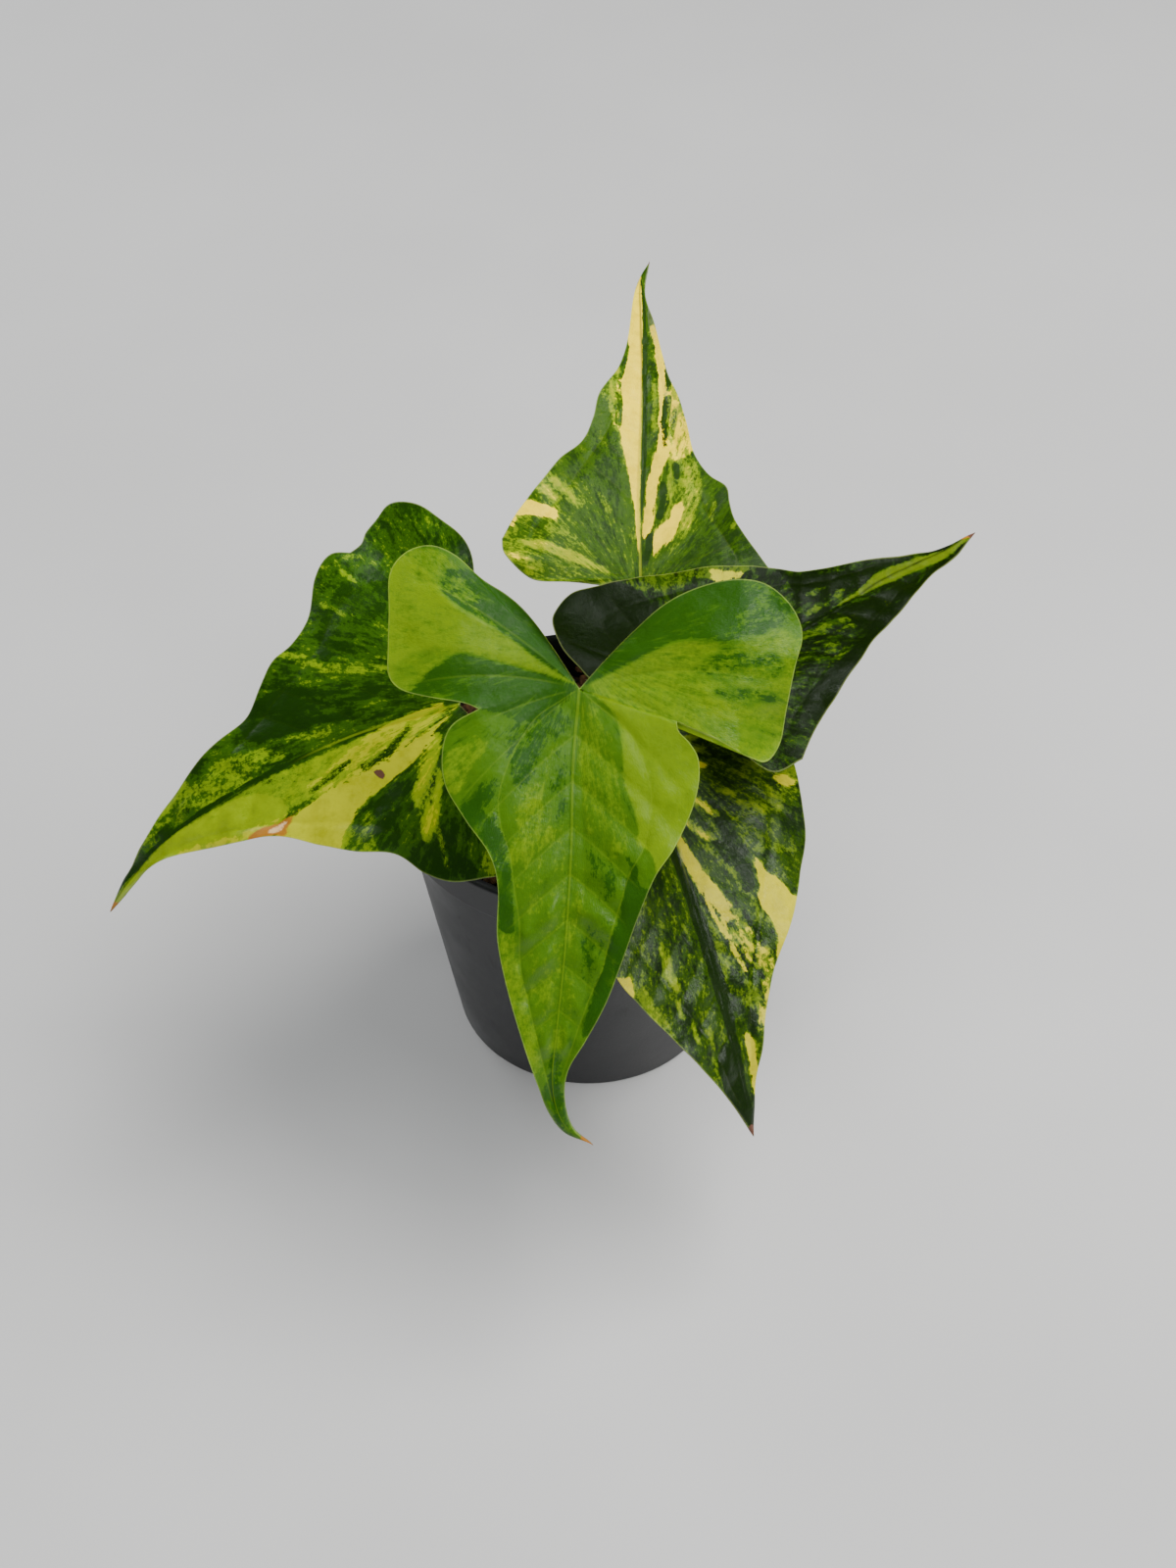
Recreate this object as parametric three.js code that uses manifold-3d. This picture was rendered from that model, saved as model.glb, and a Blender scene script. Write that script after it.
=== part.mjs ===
// A potted variegated pterodactyl anthurium: a young aroid with five three-lobed leaves on slender
// stalks, a short crown with stout roots, a chunky bark mix and a plain round nursery pot.
// Millimetres, +Z up. The origin is the centre of the pot's underside, and the front leaf hangs
// down towards -Y.
import * as THREE from 'three';
import { mergeVertices } from 'three/addons/utils/BufferGeometryUtils.js';
import Module from 'manifold-3d';

const wasm = await Module();
wasm.setup();

// Gap between pieces that touch in the real plant
const GAP = 0.3;

// Points closer than this are one point
const MERGE_DISTANCE = 1e-3;

// Pot
const POT_HEIGHT = 90;
const POT_BASE_RADIUS = 37;
const POT_TOP_RADIUS = 49.5;
const POT_WALL = 1.5;
const POT_FLOOR = 2.5;
const POT_RIM_RADIUS = 52.5;
const POT_RIM_HEIGHT = 11;
const POT_RIM_WALL = 2.6;
const POT_EDGE = 0.8;
const POT_SIDES = 48;
const DRAIN_COUNT = 8;
const DRAIN_RADIUS = 4;
const DRAIN_CIRCLE = 27;
const DRAIN_SIDES = 12;

// Potting mix
const MIX_TOP = 81;
const MIX_SHOULDER = 4;
const CHIP_COUNT = 46;
const CHIP_SIZE = 8;
const CHIP_FIRST_RADIUS = 13;
const CHIP_TILT = 0.9;
const CHIP_TAPER = 0.18;
const CHIP_SEED = 11;

// Crown, roots and leaf stalks
const CROWN_TOP = 93;
const CROWN_FOOT = 68;
const CROWN_RADIUS = 9.5;
const CROWN_SIDES = 14;
const ROOT_RADIUS = 1.7;
const ROOT_TAPER = 0.3;
const ROOT_START = 4;
const ROOT_LIFT = 3;
const ROOT_DIVE = 14;
const ROOT_SWAY = 0.14;
const ROOT_SIDES = 6;
const ROOT_STEPS = 7;
const STALK_BASE_RADIUS = 2.1;
const STALK_SHEATH = 10;
const STALK_RADIUS = 1.5;
const STALK_KNEE_RADIUS = 2.1;
const STALK_KNEE = 6;
const STALK_SIDES = 8;
const STALK_STEPS = 12;

// Leaf blades. The bends of a leaf are given per BEND_SPAN along it, and its sag at SAG_SPAN across.
const BLADE_THICKNESS = 0.9;
const BEND_SPAN = 100;
const BEND_STEPS = 10;
const SAG_SPAN = 50;
const LOBE_RUNGS = 14;
const TIP_RUNGS = 18;
const RUNG_STEPS = 4;

// Each leaf's outline lies in its own flat plane, in millimetres from the junction with the stalk:
// the first number runs along the midrib to the tip, the second across it, to the right seen from
// above. lobe goes from the junction round the back lobe to the notch, and blade from there to the
// tip. heading and pitch are the midrib's direction at the junction, roll lowers the right side,
// droop and tipDroop bend the blade further down along its length, fold lifts each half, and sag
// lowers the middle distance across it. Hills are soft swellings: along, across, two radii, height.
const LEAVES = {
  front: {
    junction: [-2, -41, 155], heading: -88, pitch: 44, roll: 0, droop: 14, tipDroop: 6, backDroop: -10,
    waves: 5, waveHeight: 0.9,
    hills: [[-14, 30, 13, 10, 2.5], [-12, -34, 12, 12, 2.5], [14, -50, 12, 10, -5], [24, 22, 18, 9, 2]],
    midrib: [[0, 0], [18, 2], [39, 3], [62, 5], [82, 7.5], [93, 8.8], [101, 8.2], [108, 5], [113, -1]],
    right: {
      fold: 12, sag: 6,
      lobe: [[0, 0], [-11, 7], [-18, 12.2], [-22.5, 17], [-26.5, 23], [-32, 29], [-34.5, 35], [-33, 41],
        [-28, 45], [-19, 45.5], [-10, 46], [-4, 46], [-0.5, 43], [1.5, 36], [3, 28], [4.5, 24.5]],
      blade: [[4.5, 24.5], [8, 31], [14, 33.5], [22, 33], [30, 28.5], [38, 23], [46, 21], [58, 21.5],
        [68, 20], [80, 17], [95, 12.6], [103, 10], [109, 6], [113, -1]],
    },
    left: {
      fold: 8, sag: 8,
      lobe: [[0, 0], [-6, -5.6], [-12, -11.8], [-19, -20], [-23, -28], [-25, -37], [-24, -45], [-19, -51],
        [-12, -54], [-4, -52], [6, -50], [14, -48.5], [18.5, -45], [18, -41.5], [15.6, -35.6], [13, -29.4],
        [10.8, -24.2]],
      blade: [[10.8, -24.2], [13, -25.4], [17, -28], [23, -28], [30, -26], [38, -22], [45, -17], [54, -13],
        [65, -9], [75, -5], [84, 0], [92, 4.8], [100, 5.8], [108, 3.8], [113, -1]],
    },
  },
  left: {
    junction: [-32, -22, 132], heading: 200, pitch: 18, roll: -22, droop: 20, tipDroop: 16, backDroop: 0,
    waves: 7, waveHeight: 1.1,
    hills: [[-4, 44, 14, 12, -4], [30, -24, 16, 8, 2]],
    midrib: [[0, 0], [17, 4], [38, 7], [61, 8], [87, 9], [113, 5]],
    right: {
      fold: 8, sag: 8,
      lobe: [[0, 0], [-6, 7], [-12, 16], [-17, 27], [-19.5, 35], [-19.5, 42], [-17, 49], [-13, 56.5],
        [-7, 60.5], [-2, 59], [2, 57], [4.5, 54], [8, 52.5]],
      blade: [[8, 52.5], [13, 54], [19, 50], [25, 41], [31, 36], [37, 34], [43, 30], [50, 25], [60, 23],
        [69, 20.5], [83, 16.5], [100, 10.5], [113, 5]],
    },
    left: {
      fold: 4, sag: 6,
      lobe: [[0, 0], [-2, -8], [-4, -18], [-5, -28], [-3, -37], [3, -43], [10, -44.5]],
      blade: [[10, -44.5], [20, -41], [26, -35], [30, -28], [38, -23], [47, -15], [55, -8], [66, -3],
        [78, 2], [90, 5.5], [103, 5.8], [113, 5]],
    },
  },
  back: {
    junction: [14, 36, 124], heading: 88, pitch: -22, roll: 0, droop: 14, tipDroop: 0, backDroop: 0,
    waves: 6, waveHeight: 0.9,
    hills: [[0, 38, 12, 11, -5], [6, -26, 12, 10, 2]],
    midrib: [[0, 0], [27, -1], [60, -1], [85, -2], [101, -2.5], [112, 0]],
    right: {
      fold: 14, sag: 6,
      lobe: [[0, 0], [-4, 7], [-6, 16], [-6, 26], [-4, 34], [0, 38]],
      blade: [[0, 38], [9, 30], [15, 25.5], [20, 24], [26, 23], [31, 18], [38, 14], [48, 11.5], [58, 9],
        [67, 6], [84, 2], [98, -1], [112, 0]],
    },
    left: {
      fold: 12, sag: 6,
      lobe: [[0, 0], [-3, -7], [-3.5, -15], [-4.5, -25], [-2, -32], [3, -37], [8, -38]],
      blade: [[8, -38], [17, -34], [26, -28], [35, -23], [42, -17], [49, -14.5], [57, -13], [68, -8],
        [80, -5.5], [100, -3.8], [112, 0]],
    },
  },
  right: {
    junction: [28, -4, 124], heading: 37, pitch: -3, roll: 6, droop: 12, tipDroop: 0, backDroop: 0,
    waves: 5, waveHeight: 0.9,
    hills: [[-8, -26, 12, 12, -2], [24, 18, 16, 8, 2]],
    midrib: [[0, 0], [16, 2], [34, 2], [48, 1], [64, -1], [82, -1.5], [101, -3]],
    right: {
      fold: 6, sag: 10,
      lobe: [[0, 0], [-3, 7], [-5, 16], [-6, 26], [-3, 34], [5, 36]],
      blade: [[5, 36], [15, 30], [28, 24], [38, 20], [48, 15], [63, 10], [75, 5.5], [90, 1], [101, -3]],
    },
    left: {
      fold: 14, sag: 8,
      lobe: [[0, 0], [-12, -6], [-22, -13], [-24, -20], [-24, -27], [-21, -35], [-17, -39], [-10, -41],
        [-3, -38]],
      blade: [[-3, -38], [7, -34.5], [15, -32], [24, -28], [32, -22], [41, -15.5], [51, -12.5],
        [62, -10], [76, -6], [90, -4], [101, -3]],
    },
  },
  lower: {
    junction: [10, -18, 113], heading: -62, pitch: 22, roll: -6, droop: 34, tipDroop: 0, backDroop: 0,
    waves: 6, waveHeight: 0.9,
    hills: [[30, -24, 16, 10, 1.5], [34, 18, 18, 9, 2]],
    midrib: [[0, 0], [14, -1], [28, -1], [46, 1], [66, 2], [87, 3], [105, 3]],
    right: {
      fold: 10, sag: 8,
      lobe: [[0, 0], [-10, 3.4], [-20, 7.2], [-29, 11], [-34, 14], [-34, 19], [-28, 23.5], [-18, 27],
        [-8, 29], [4, 32]],
      blade: [[4, 32], [16, 35], [28, 35], [40, 33], [55, 29.5], [62, 26], [72, 20], [82, 14.5], [94, 7.5],
        [105, 3]],
    },
    left: {
      fold: 8, sag: 8,
      lobe: [[0, 0], [-3, -8], [-5, -18], [-6, -29], [-3, -38], [3, -43], [10, -44]],
      blade: [[10, -44], [19, -42], [29, -38.5], [39, -35], [52, -26], [62, -17.5], [73, -10], [87, -3],
        [98, 0.5], [105, 3]],
    },
  },
};

// Leaf stalks: where each leaves the crown, its first direction, and how far each end runs straight
const STALKS = {
  front: { base: [0, -1, 88], out: [0.1, 0.08, 1], outReach: 40, topReach: 20 },
  left: { base: [-6, 0, 87], out: [-0.35, -0.12, 0.93], outReach: 16, topReach: 16 },
  back: { base: [1, 5, 87], out: [0.12, 0.4, 0.9], outReach: 16, topReach: 12 },
  right: { base: [6, 2, 87], out: [0.12, 0.22, 0.96], outReach: 20, topReach: 12 },
  lower: { base: [4, -5, 87], out: [0.2, -0.35, 0.9], outReach: 9, topReach: 8 },
};

// Stout roots: direction in degrees, reach from the axis and height of the arch
const ROOTS = [
  { angle: 35, reach: 27, rise: 4 },
  { angle: 108, reach: 24, rise: 3 },
  { angle: 175, reach: 29, rise: 4.5 },
  { angle: 248, reach: 26, rise: 3.5 },
  { angle: 300, reach: 30, rise: 4 },
];

const COLOURS = {
  pot: 0x17181a,
  mix: 0x4a3222,
  crown: 0x6b6a35,
  stalk: 0x6f8f2f,
  newStalk: 0x93b03c,
  leaf: 0x2f5a1a,
  newLeaf: 0x7fae1e,
};

const group = new THREE.Group();

function addPiece(name, geometry, colour, roughness) {
  const material = new THREE.MeshStandardMaterial({ color: colour, roughness, metalness: 0 });
  const mesh = new THREE.Mesh(geometry, material);
  mesh.name = name;
  group.add(mesh);
}

// Repeatable random numbers from 0 to 1
function randomSource(seed) {
  let state = seed;
  return () => {
    state = (state * 1664525 + 1013904223) % 4294967296;
    return state / 4294967296;
  };
}

function closedGeometry(positions, index) {
  let geometry = new THREE.BufferGeometry();
  geometry.setAttribute('position', new THREE.Float32BufferAttribute(positions, 3));
  geometry.setIndex(index);
  geometry = mergeVertices(geometry, MERGE_DISTANCE);
  const kept = [];
  const merged = geometry.getIndex();
  for (let i = 0; i < merged.count; i += 3) {
    const [a, b, c] = [merged.getX(i), merged.getX(i + 1), merged.getX(i + 2)];
    if (a !== b && b !== c && c !== a) {
      kept.push(a, b, c);
    }
  }
  geometry.setIndex(kept);
  return geometry;
}

function solid(geometry) {
  let plain = geometry.clone();
  plain.deleteAttribute('normal');
  plain.deleteAttribute('uv');
  plain = mergeVertices(plain, MERGE_DISTANCE);
  return new wasm.Manifold(new wasm.Mesh({
    numProp: 3,
    vertProperties: new Float32Array(plain.attributes.position.array),
    triVerts: new Uint32Array(plain.index.array),
  }));
}

function geometryOf(manifold) {
  const mesh = manifold.getMesh();
  const geometry = new THREE.BufferGeometry();
  geometry.setAttribute('position', new THREE.BufferAttribute(new Float32Array(mesh.vertProperties), 3));
  geometry.setIndex(new THREE.BufferAttribute(new Uint32Array(mesh.triVerts), 1));
  return geometry;
}

function latheAboutZ(profile, sides) {
  const geometry = new THREE.LatheGeometry(profile.map(([r, z]) => new THREE.Vector2(r, z)), sides);
  geometry.rotateX(Math.PI / 2);
  return geometry;
}

// A closed round tube along a list of points, with a radius for each. Its last ring faces end.
function tube(points, radii, sides, end) {
  const positions = [];
  const index = [];
  const side = new THREE.Vector3();
  const up = new THREE.Vector3();
  let reference = new THREE.Vector3(1, 0.3, 0);
  points.forEach((point, i) => {
    const before = points[Math.max(i - 1, 0)];
    const after = points[Math.min(i + 1, points.length - 1)];
    const along = end && after === point ? end : after.clone().sub(before).normalize();
    side.copy(reference).addScaledVector(along, -reference.dot(along)).normalize();
    up.crossVectors(along, side);
    reference = side.clone();
    for (let k = 0; k < sides; k += 1) {
      const turn = (2 * Math.PI * k) / sides;
      const corner = point.clone();
      corner.addScaledVector(side, radii[i] * Math.cos(turn));
      corner.addScaledVector(up, radii[i] * Math.sin(turn));
      positions.push(corner.x, corner.y, corner.z);
    }
  });
  const last = points.length - 1;
  for (let i = 0; i < last; i += 1) {
    for (let k = 0; k < sides; k += 1) {
      const a = i * sides + k;
      const b = i * sides + ((k + 1) % sides);
      index.push(a, b, b + sides, a, b + sides, a + sides);
    }
  }
  for (let k = 1; k < sides - 1; k += 1) {
    index.push(0, k + 1, k);
    index.push(last * sides, last * sides + k, last * sides + k + 1);
  }
  return closedGeometry(positions, index);
}

// Leaf surfaces
function leafFrame(leaf) {
  const heading = THREE.MathUtils.degToRad(leaf.heading);
  const pitch = THREE.MathUtils.degToRad(leaf.pitch);
  const forward = new THREE.Vector3(
    Math.cos(heading) * Math.cos(pitch),
    Math.sin(heading) * Math.cos(pitch),
    -Math.sin(pitch),
  );
  const right = new THREE.Vector3().crossVectors(forward, new THREE.Vector3(0, 0, 1)).normalize();
  const normal = new THREE.Vector3().crossVectors(right, forward);
  const roll = THREE.MathUtils.degToRad(leaf.roll);
  right.applyAxisAngle(forward, roll);
  normal.applyAxisAngle(forward, roll);
  return { junction: new THREE.Vector3(...leaf.junction), forward, right, normal };
}

// How far the midrib has turned down at a distance along it
function bendAngle(leaf, along) {
  const part = along / BEND_SPAN;
  const degrees = along > 0 ? leaf.droop * part + leaf.tipDroop * part ** 3 : leaf.backDroop * part;
  return THREE.MathUtils.degToRad(degrees);
}

// The point and the upward normal of the bent leaf at a place in its flat outline. edge runs from 0
// at the midrib to 1 at the margin, and turn counts the margin's waves.
function leafPoint(leaf, frame, along, across, edge, turn) {
  let reach = 0;
  let drop = 0;
  for (let i = 0; i < BEND_STEPS; i += 1) {
    const angle = bendAngle(leaf, ((i + 0.5) / BEND_STEPS) * along);
    reach += (Math.cos(angle) * along) / BEND_STEPS;
    drop += (Math.sin(angle) * along) / BEND_STEPS;
  }
  const angle = bendAngle(leaf, along);
  const half = across < 0 ? leaf.left : leaf.right;
  const fold = THREE.MathUtils.degToRad(half.fold);
  let lift = Math.abs(across) * Math.sin(fold) - half.sag * (across / SAG_SPAN) ** 2;
  leaf.hills.forEach(([hillAlong, hillAcross, longRadius, wideRadius, height]) => {
    const a = (along - hillAlong) / longRadius;
    const b = (across - hillAcross) / wideRadius;
    lift += height * Math.exp(-a * a - b * b);
  });
  lift += leaf.waveHeight * edge ** 3 * Math.sin(2 * Math.PI * leaf.waves * turn);
  const normal = frame.forward.clone().multiplyScalar(Math.sin(angle));
  normal.addScaledVector(frame.normal, Math.cos(angle));
  const point = frame.junction.clone();
  point.addScaledVector(frame.forward, reach);
  point.addScaledVector(frame.normal, -drop);
  point.addScaledVector(frame.right, across * Math.cos(fold));
  point.addScaledVector(normal, lift);
  return { point, normal };
}

function evenPoints(outline, count) {
  const curve = new THREE.SplineCurve(outline.map(([along, across]) => new THREE.Vector2(along, across)));
  return curve.getSpacedPoints(count);
}

// The flat place of every rung of one half: its outer end on the margin and inner end on the midrib.
// Rungs of the back lobe start at the junction and the others step along the midrib to the tip.
function halfRungs(leaf, half) {
  const lobe = evenPoints(half.lobe, LOBE_RUNGS);
  const blade = evenPoints(half.blade, TIP_RUNGS);
  const rib = evenPoints(leaf.midrib, TIP_RUNGS);
  const rungs = [];
  lobe.forEach((outer) => rungs.push({ inner: rib[0], outer }));
  blade.slice(1).forEach((outer, i) => rungs.push({ inner: rib[i + 1], outer }));
  return rungs;
}

function bladeGeometry(leaf) {
  const frame = leafFrame(leaf);
  const positions = [];
  const index = [];
  const quad = (a, b, c, d, flip) => {
    if (flip) {
      index.push(a, c, b, a, d, c);
    } else {
      index.push(a, b, c, a, c, d);
    }
  };
  [leaf.left, leaf.right].forEach((half, side) => {
    const rungs = halfRungs(leaf, half);
    const width = RUNG_STEPS + 1;
    const top = positions.length / 3;
    const bottom = top + rungs.length * width;
    const under = [];
    rungs.forEach((rung, i) => {
      const turn = i / (rungs.length - 1);
      for (let j = 0; j < width; j += 1) {
        const edge = j / RUNG_STEPS;
        const flat = rung.inner.clone().lerp(rung.outer, edge);
        const { point, normal } = leafPoint(leaf, frame, flat.x, flat.y, edge, turn);
        positions.push(point.x, point.y, point.z);
        point.addScaledVector(normal, -BLADE_THICKNESS);
        under.push(point.x, point.y, point.z);
      }
    });
    positions.push(...under);
    const flip = side === 0;
    for (let i = 0; i < rungs.length - 1; i += 1) {
      for (let j = 0; j < RUNG_STEPS; j += 1) {
        const a = i * width + j;
        quad(top + a, top + a + 1, top + a + width + 1, top + a + width, flip);
        quad(bottom + a, bottom + a + 1, bottom + a + width + 1, bottom + a + width, !flip);
      }
      const rim = i * width + RUNG_STEPS;
      quad(top + rim, bottom + rim, bottom + rim + width, top + rim + width, flip);
    }
  });
  return closedGeometry(positions, index);
}

// Leaf stalks
function stalkPath(name) {
  const leaf = LEAVES[name];
  const stalk = STALKS[name];
  const frame = leafFrame(leaf);
  const seat = leafPoint(leaf, frame, STALK_KNEE_RADIUS, 0, 0, 0);
  const top = seat.point.clone().addScaledVector(seat.normal, -(BLADE_THICKNESS + GAP));
  const base = new THREE.Vector3(...stalk.base);
  const out = new THREE.Vector3(...stalk.out).normalize();
  const curve = new THREE.CubicBezierCurve3(
    base,
    base.clone().addScaledVector(out, stalk.outReach),
    top.clone().addScaledVector(seat.normal, -stalk.topReach),
    top,
  );
  return { path: curve.getSpacedPoints(STALK_STEPS), end: seat.normal };
}

// The stalk is stout in its sheath at the crown, slim along its length and has a knee at the blade
function stalkRadius(part, length) {
  const fromTop = (1 - part) * length;
  const fromBase = part * length;
  const knee = (STALK_KNEE_RADIUS - STALK_RADIUS) * Math.exp(-((fromTop / STALK_KNEE) ** 2));
  const foot = (STALK_BASE_RADIUS - STALK_RADIUS) * Math.exp(-((fromBase / STALK_SHEATH) ** 2));
  return STALK_RADIUS + knee + foot;
}

function stalkGeometry(name, extra) {
  const { path, end } = stalkPath(name);
  const length = path.slice(1).reduce((sum, point, i) => sum + point.distanceTo(path[i]), 0);
  const radii = path.map((_, i) => stalkRadius(i / STALK_STEPS, length) + extra);
  if (extra > 0) {
    const first = path[0].clone().sub(path[1]).normalize();
    path[0].addScaledVector(first, extra);
  }
  return tube(path, radii, STALK_SIDES, end);
}

// Roots leave the crown just above the mix, arch outwards and dive into it
function rootGeometry(root, extra) {
  const points = [];
  const radii = [];
  const turn = THREE.MathUtils.degToRad(root.angle);
  for (let i = 0; i <= ROOT_STEPS; i += 1) {
    const part = i / ROOT_STEPS;
    const reach = THREE.MathUtils.lerp(ROOT_START, root.reach, Math.sin((part * Math.PI) / 2));
    const arch = root.rise * Math.sin(part * Math.PI * 0.8);
    const height = MIX_TOP + ROOT_LIFT + arch - ROOT_DIVE * part ** 4;
    const side = turn + ROOT_SWAY * Math.sin(part * 5 + root.angle);
    points.push(new THREE.Vector3(reach * Math.cos(side), reach * Math.sin(side), height));
    radii.push(ROOT_RADIUS * (1 - ROOT_TAPER * part) + extra);
  }
  if (extra > 0) {
    const last = points[ROOT_STEPS].clone().sub(points[ROOT_STEPS - 1]).normalize();
    points[ROOT_STEPS].addScaledVector(last, extra);
  }
  return tube(points, radii, ROOT_SIDES);
}

// Crown: a short stout stem ringed by old leaf scars, with its roots, and a socket for each stalk
const CROWN_PROFILE = [
  [0, CROWN_FOOT], [5, CROWN_FOOT + 1], [7.5, CROWN_FOOT + 5], [8.5, MIX_TOP - 2], [8, MIX_TOP + 1],
  [CROWN_RADIUS, MIX_TOP + 3], [8.8, MIX_TOP + 5], [9.4, MIX_TOP + 7], [8.2, CROWN_TOP - 3],
  [5.5, CROWN_TOP - 0.8], [0, CROWN_TOP],
];

function crownSolid() {
  let crown = solid(latheAboutZ(CROWN_PROFILE, CROWN_SIDES));
  ROOTS.forEach((root) => {
    crown = crown.add(solid(rootGeometry(root, 0)));
  });
  Object.keys(STALKS).forEach((name) => {
    crown = crown.subtract(solid(stalkGeometry(name, GAP)));
  });
  return crown;
}

// Potting mix: a tapered plug that fills the pot, with bark chips half sunk in its top
function innerRadius(height) {
  const part = height / (POT_HEIGHT - POT_RIM_HEIGHT);
  return THREE.MathUtils.lerp(POT_BASE_RADIUS, POT_TOP_RADIUS, Math.min(part, 1)) - POT_WALL;
}

function chipGeometry(random) {
  const size = CHIP_SIZE * (0.7 + 0.6 * random());
  const geometry = new THREE.BoxGeometry(size, size * (0.6 + 0.3 * random()), size * (0.4 + 0.3 * random()));
  const place = geometry.attributes.position;
  for (let i = 0; i < place.count; i += 1) {
    const slant = Math.sign(place.getX(i)) * Math.sign(place.getZ(i));
    place.setY(i, place.getY(i) * (1 + CHIP_TAPER * slant));
    place.setX(i, place.getX(i) * (1 - CHIP_TAPER * Math.sign(place.getY(i))));
  }
  const lean = [(random() - 0.5) * CHIP_TILT, (random() - 0.5) * CHIP_TILT];
  const tilt = new THREE.Euler(...lean, random() * Math.PI * 2);
  geometry.applyMatrix4(new THREE.Matrix4().makeRotationFromEuler(tilt));
  return geometry;
}

function mixSolid() {
  const foot = POT_FLOOR + GAP;
  const shoulder = MIX_TOP - MIX_SHOULDER;
  const edge = innerRadius(shoulder) - GAP;
  const profile = [
    [0, foot], [innerRadius(foot) - GAP, foot], [edge, shoulder], [edge - 1.5, MIX_TOP - 1],
    [edge * 0.7, MIX_TOP], [0, MIX_TOP - 0.5],
  ];
  let mix = solid(latheAboutZ(profile, POT_SIDES));
  const random = randomSource(CHIP_SEED);
  const golden = Math.PI * (3 - Math.sqrt(5));
  const outer = edge - CHIP_SIZE * 0.9;
  for (let i = 0; i < CHIP_COUNT; i += 1) {
    const part = (i + 0.5) / CHIP_COUNT;
    const reach = Math.sqrt(THREE.MathUtils.lerp(CHIP_FIRST_RADIUS ** 2, outer ** 2, part));
    const turn = i * golden + 0.3 * random();
    const chip = chipGeometry(random);
    chip.translate(reach * Math.cos(turn), reach * Math.sin(turn), MIX_TOP + 0.2 + 0.9 * random());
    mix = mix.add(solid(chip));
  }
  const hole = CROWN_PROFILE.slice(0, 4).map(([r, z]) => [r === 0 ? 0 : r + GAP, z - GAP]);
  const mouth = CROWN_RADIUS + 1;
  hole.push([mouth, MIX_TOP - 1], [mouth, CROWN_TOP], [0, CROWN_TOP]);
  mix = mix.subtract(solid(latheAboutZ(hole, CROWN_SIDES)));
  ROOTS.forEach((root) => {
    mix = mix.subtract(solid(rootGeometry(root, GAP)));
  });
  const bodies = mix.decompose();
  bodies.sort((a, b) => b.volume() - a.volume());
  return bodies[0];
}

// Pot: a plain thin shell with a stepped rim and drainage holes round its floor
function potSolid() {
  const ledge = POT_HEIGHT - POT_RIM_HEIGHT;
  const profile = [
    [0, 0], [POT_BASE_RADIUS - POT_EDGE * 2, 0], [POT_BASE_RADIUS, POT_EDGE * 2], [POT_TOP_RADIUS, ledge],
    [POT_RIM_RADIUS - POT_EDGE, ledge + POT_EDGE], [POT_RIM_RADIUS, POT_HEIGHT - POT_EDGE],
    [POT_RIM_RADIUS - POT_EDGE, POT_HEIGHT], [POT_RIM_RADIUS - POT_RIM_WALL + POT_EDGE, POT_HEIGHT],
    [POT_RIM_RADIUS - POT_RIM_WALL, POT_HEIGHT - POT_EDGE],
    [POT_RIM_RADIUS - POT_EDGE - POT_RIM_WALL, ledge + POT_RIM_WALL],
    [innerRadius(ledge), ledge - POT_EDGE], [innerRadius(POT_FLOOR), POT_FLOOR], [0, POT_FLOOR],
  ];
  let pot = solid(latheAboutZ(profile, POT_SIDES));
  for (let i = 0; i < DRAIN_COUNT; i += 1) {
    const turn = (2 * Math.PI * (i + 0.5)) / DRAIN_COUNT;
    const drill = new THREE.CylinderGeometry(DRAIN_RADIUS, DRAIN_RADIUS, POT_FLOOR * 3, DRAIN_SIDES);
    drill.rotateX(Math.PI / 2);
    drill.translate(DRAIN_CIRCLE * Math.cos(turn), DRAIN_CIRCLE * Math.sin(turn), POT_FLOOR / 2);
    pot = pot.subtract(solid(drill));
  }
  return pot;
}

addPiece('pot', geometryOf(potSolid()), COLOURS.pot, 0.5);
addPiece('potting_mix', geometryOf(mixSolid()), COLOURS.mix, 0.95);
addPiece('crown', geometryOf(crownSolid()), COLOURS.crown, 0.7);
Object.keys(LEAVES).forEach((name) => {
  const young = name === 'front';
  addPiece(`stalk_${name}`, stalkGeometry(name, 0), young ? COLOURS.newStalk : COLOURS.stalk, 0.45);
  addPiece(`blade_${name}`, bladeGeometry(LEAVES[name]), young ? COLOURS.newLeaf : COLOURS.leaf, 0.4);
});

export default group;
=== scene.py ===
"""The looks of a potted variegated pterodactyl anthurium: veined, waved leaves with variegation,
slender stalks, a rooted crown, a bark mix and a moulded nursery pot."""
import math

import bmesh
import bpy
import numpy as np
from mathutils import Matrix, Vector


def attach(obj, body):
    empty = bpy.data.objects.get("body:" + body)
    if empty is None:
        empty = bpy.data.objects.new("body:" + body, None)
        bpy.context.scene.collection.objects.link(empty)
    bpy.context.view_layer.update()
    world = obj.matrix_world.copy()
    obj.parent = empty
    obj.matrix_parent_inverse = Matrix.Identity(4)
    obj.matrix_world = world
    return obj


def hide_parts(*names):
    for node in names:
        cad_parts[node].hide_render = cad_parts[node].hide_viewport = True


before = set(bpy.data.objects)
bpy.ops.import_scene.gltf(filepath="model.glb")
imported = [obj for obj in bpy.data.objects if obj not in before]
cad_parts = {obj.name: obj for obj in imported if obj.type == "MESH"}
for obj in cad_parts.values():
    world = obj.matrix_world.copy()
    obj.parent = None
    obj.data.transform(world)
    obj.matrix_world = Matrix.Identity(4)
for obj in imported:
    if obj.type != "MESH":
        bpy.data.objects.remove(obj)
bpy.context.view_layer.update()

MM = 0.001
BODY = "root"

# Camera, in metres and degrees
CAMERA_TARGET = (0, 0, 0.082)
CAMERA_DISTANCE = 0.7
CAMERA_ELEVATION = 45
CAMERA_LENS = 60
CAMERA_SENSOR = 36

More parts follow.
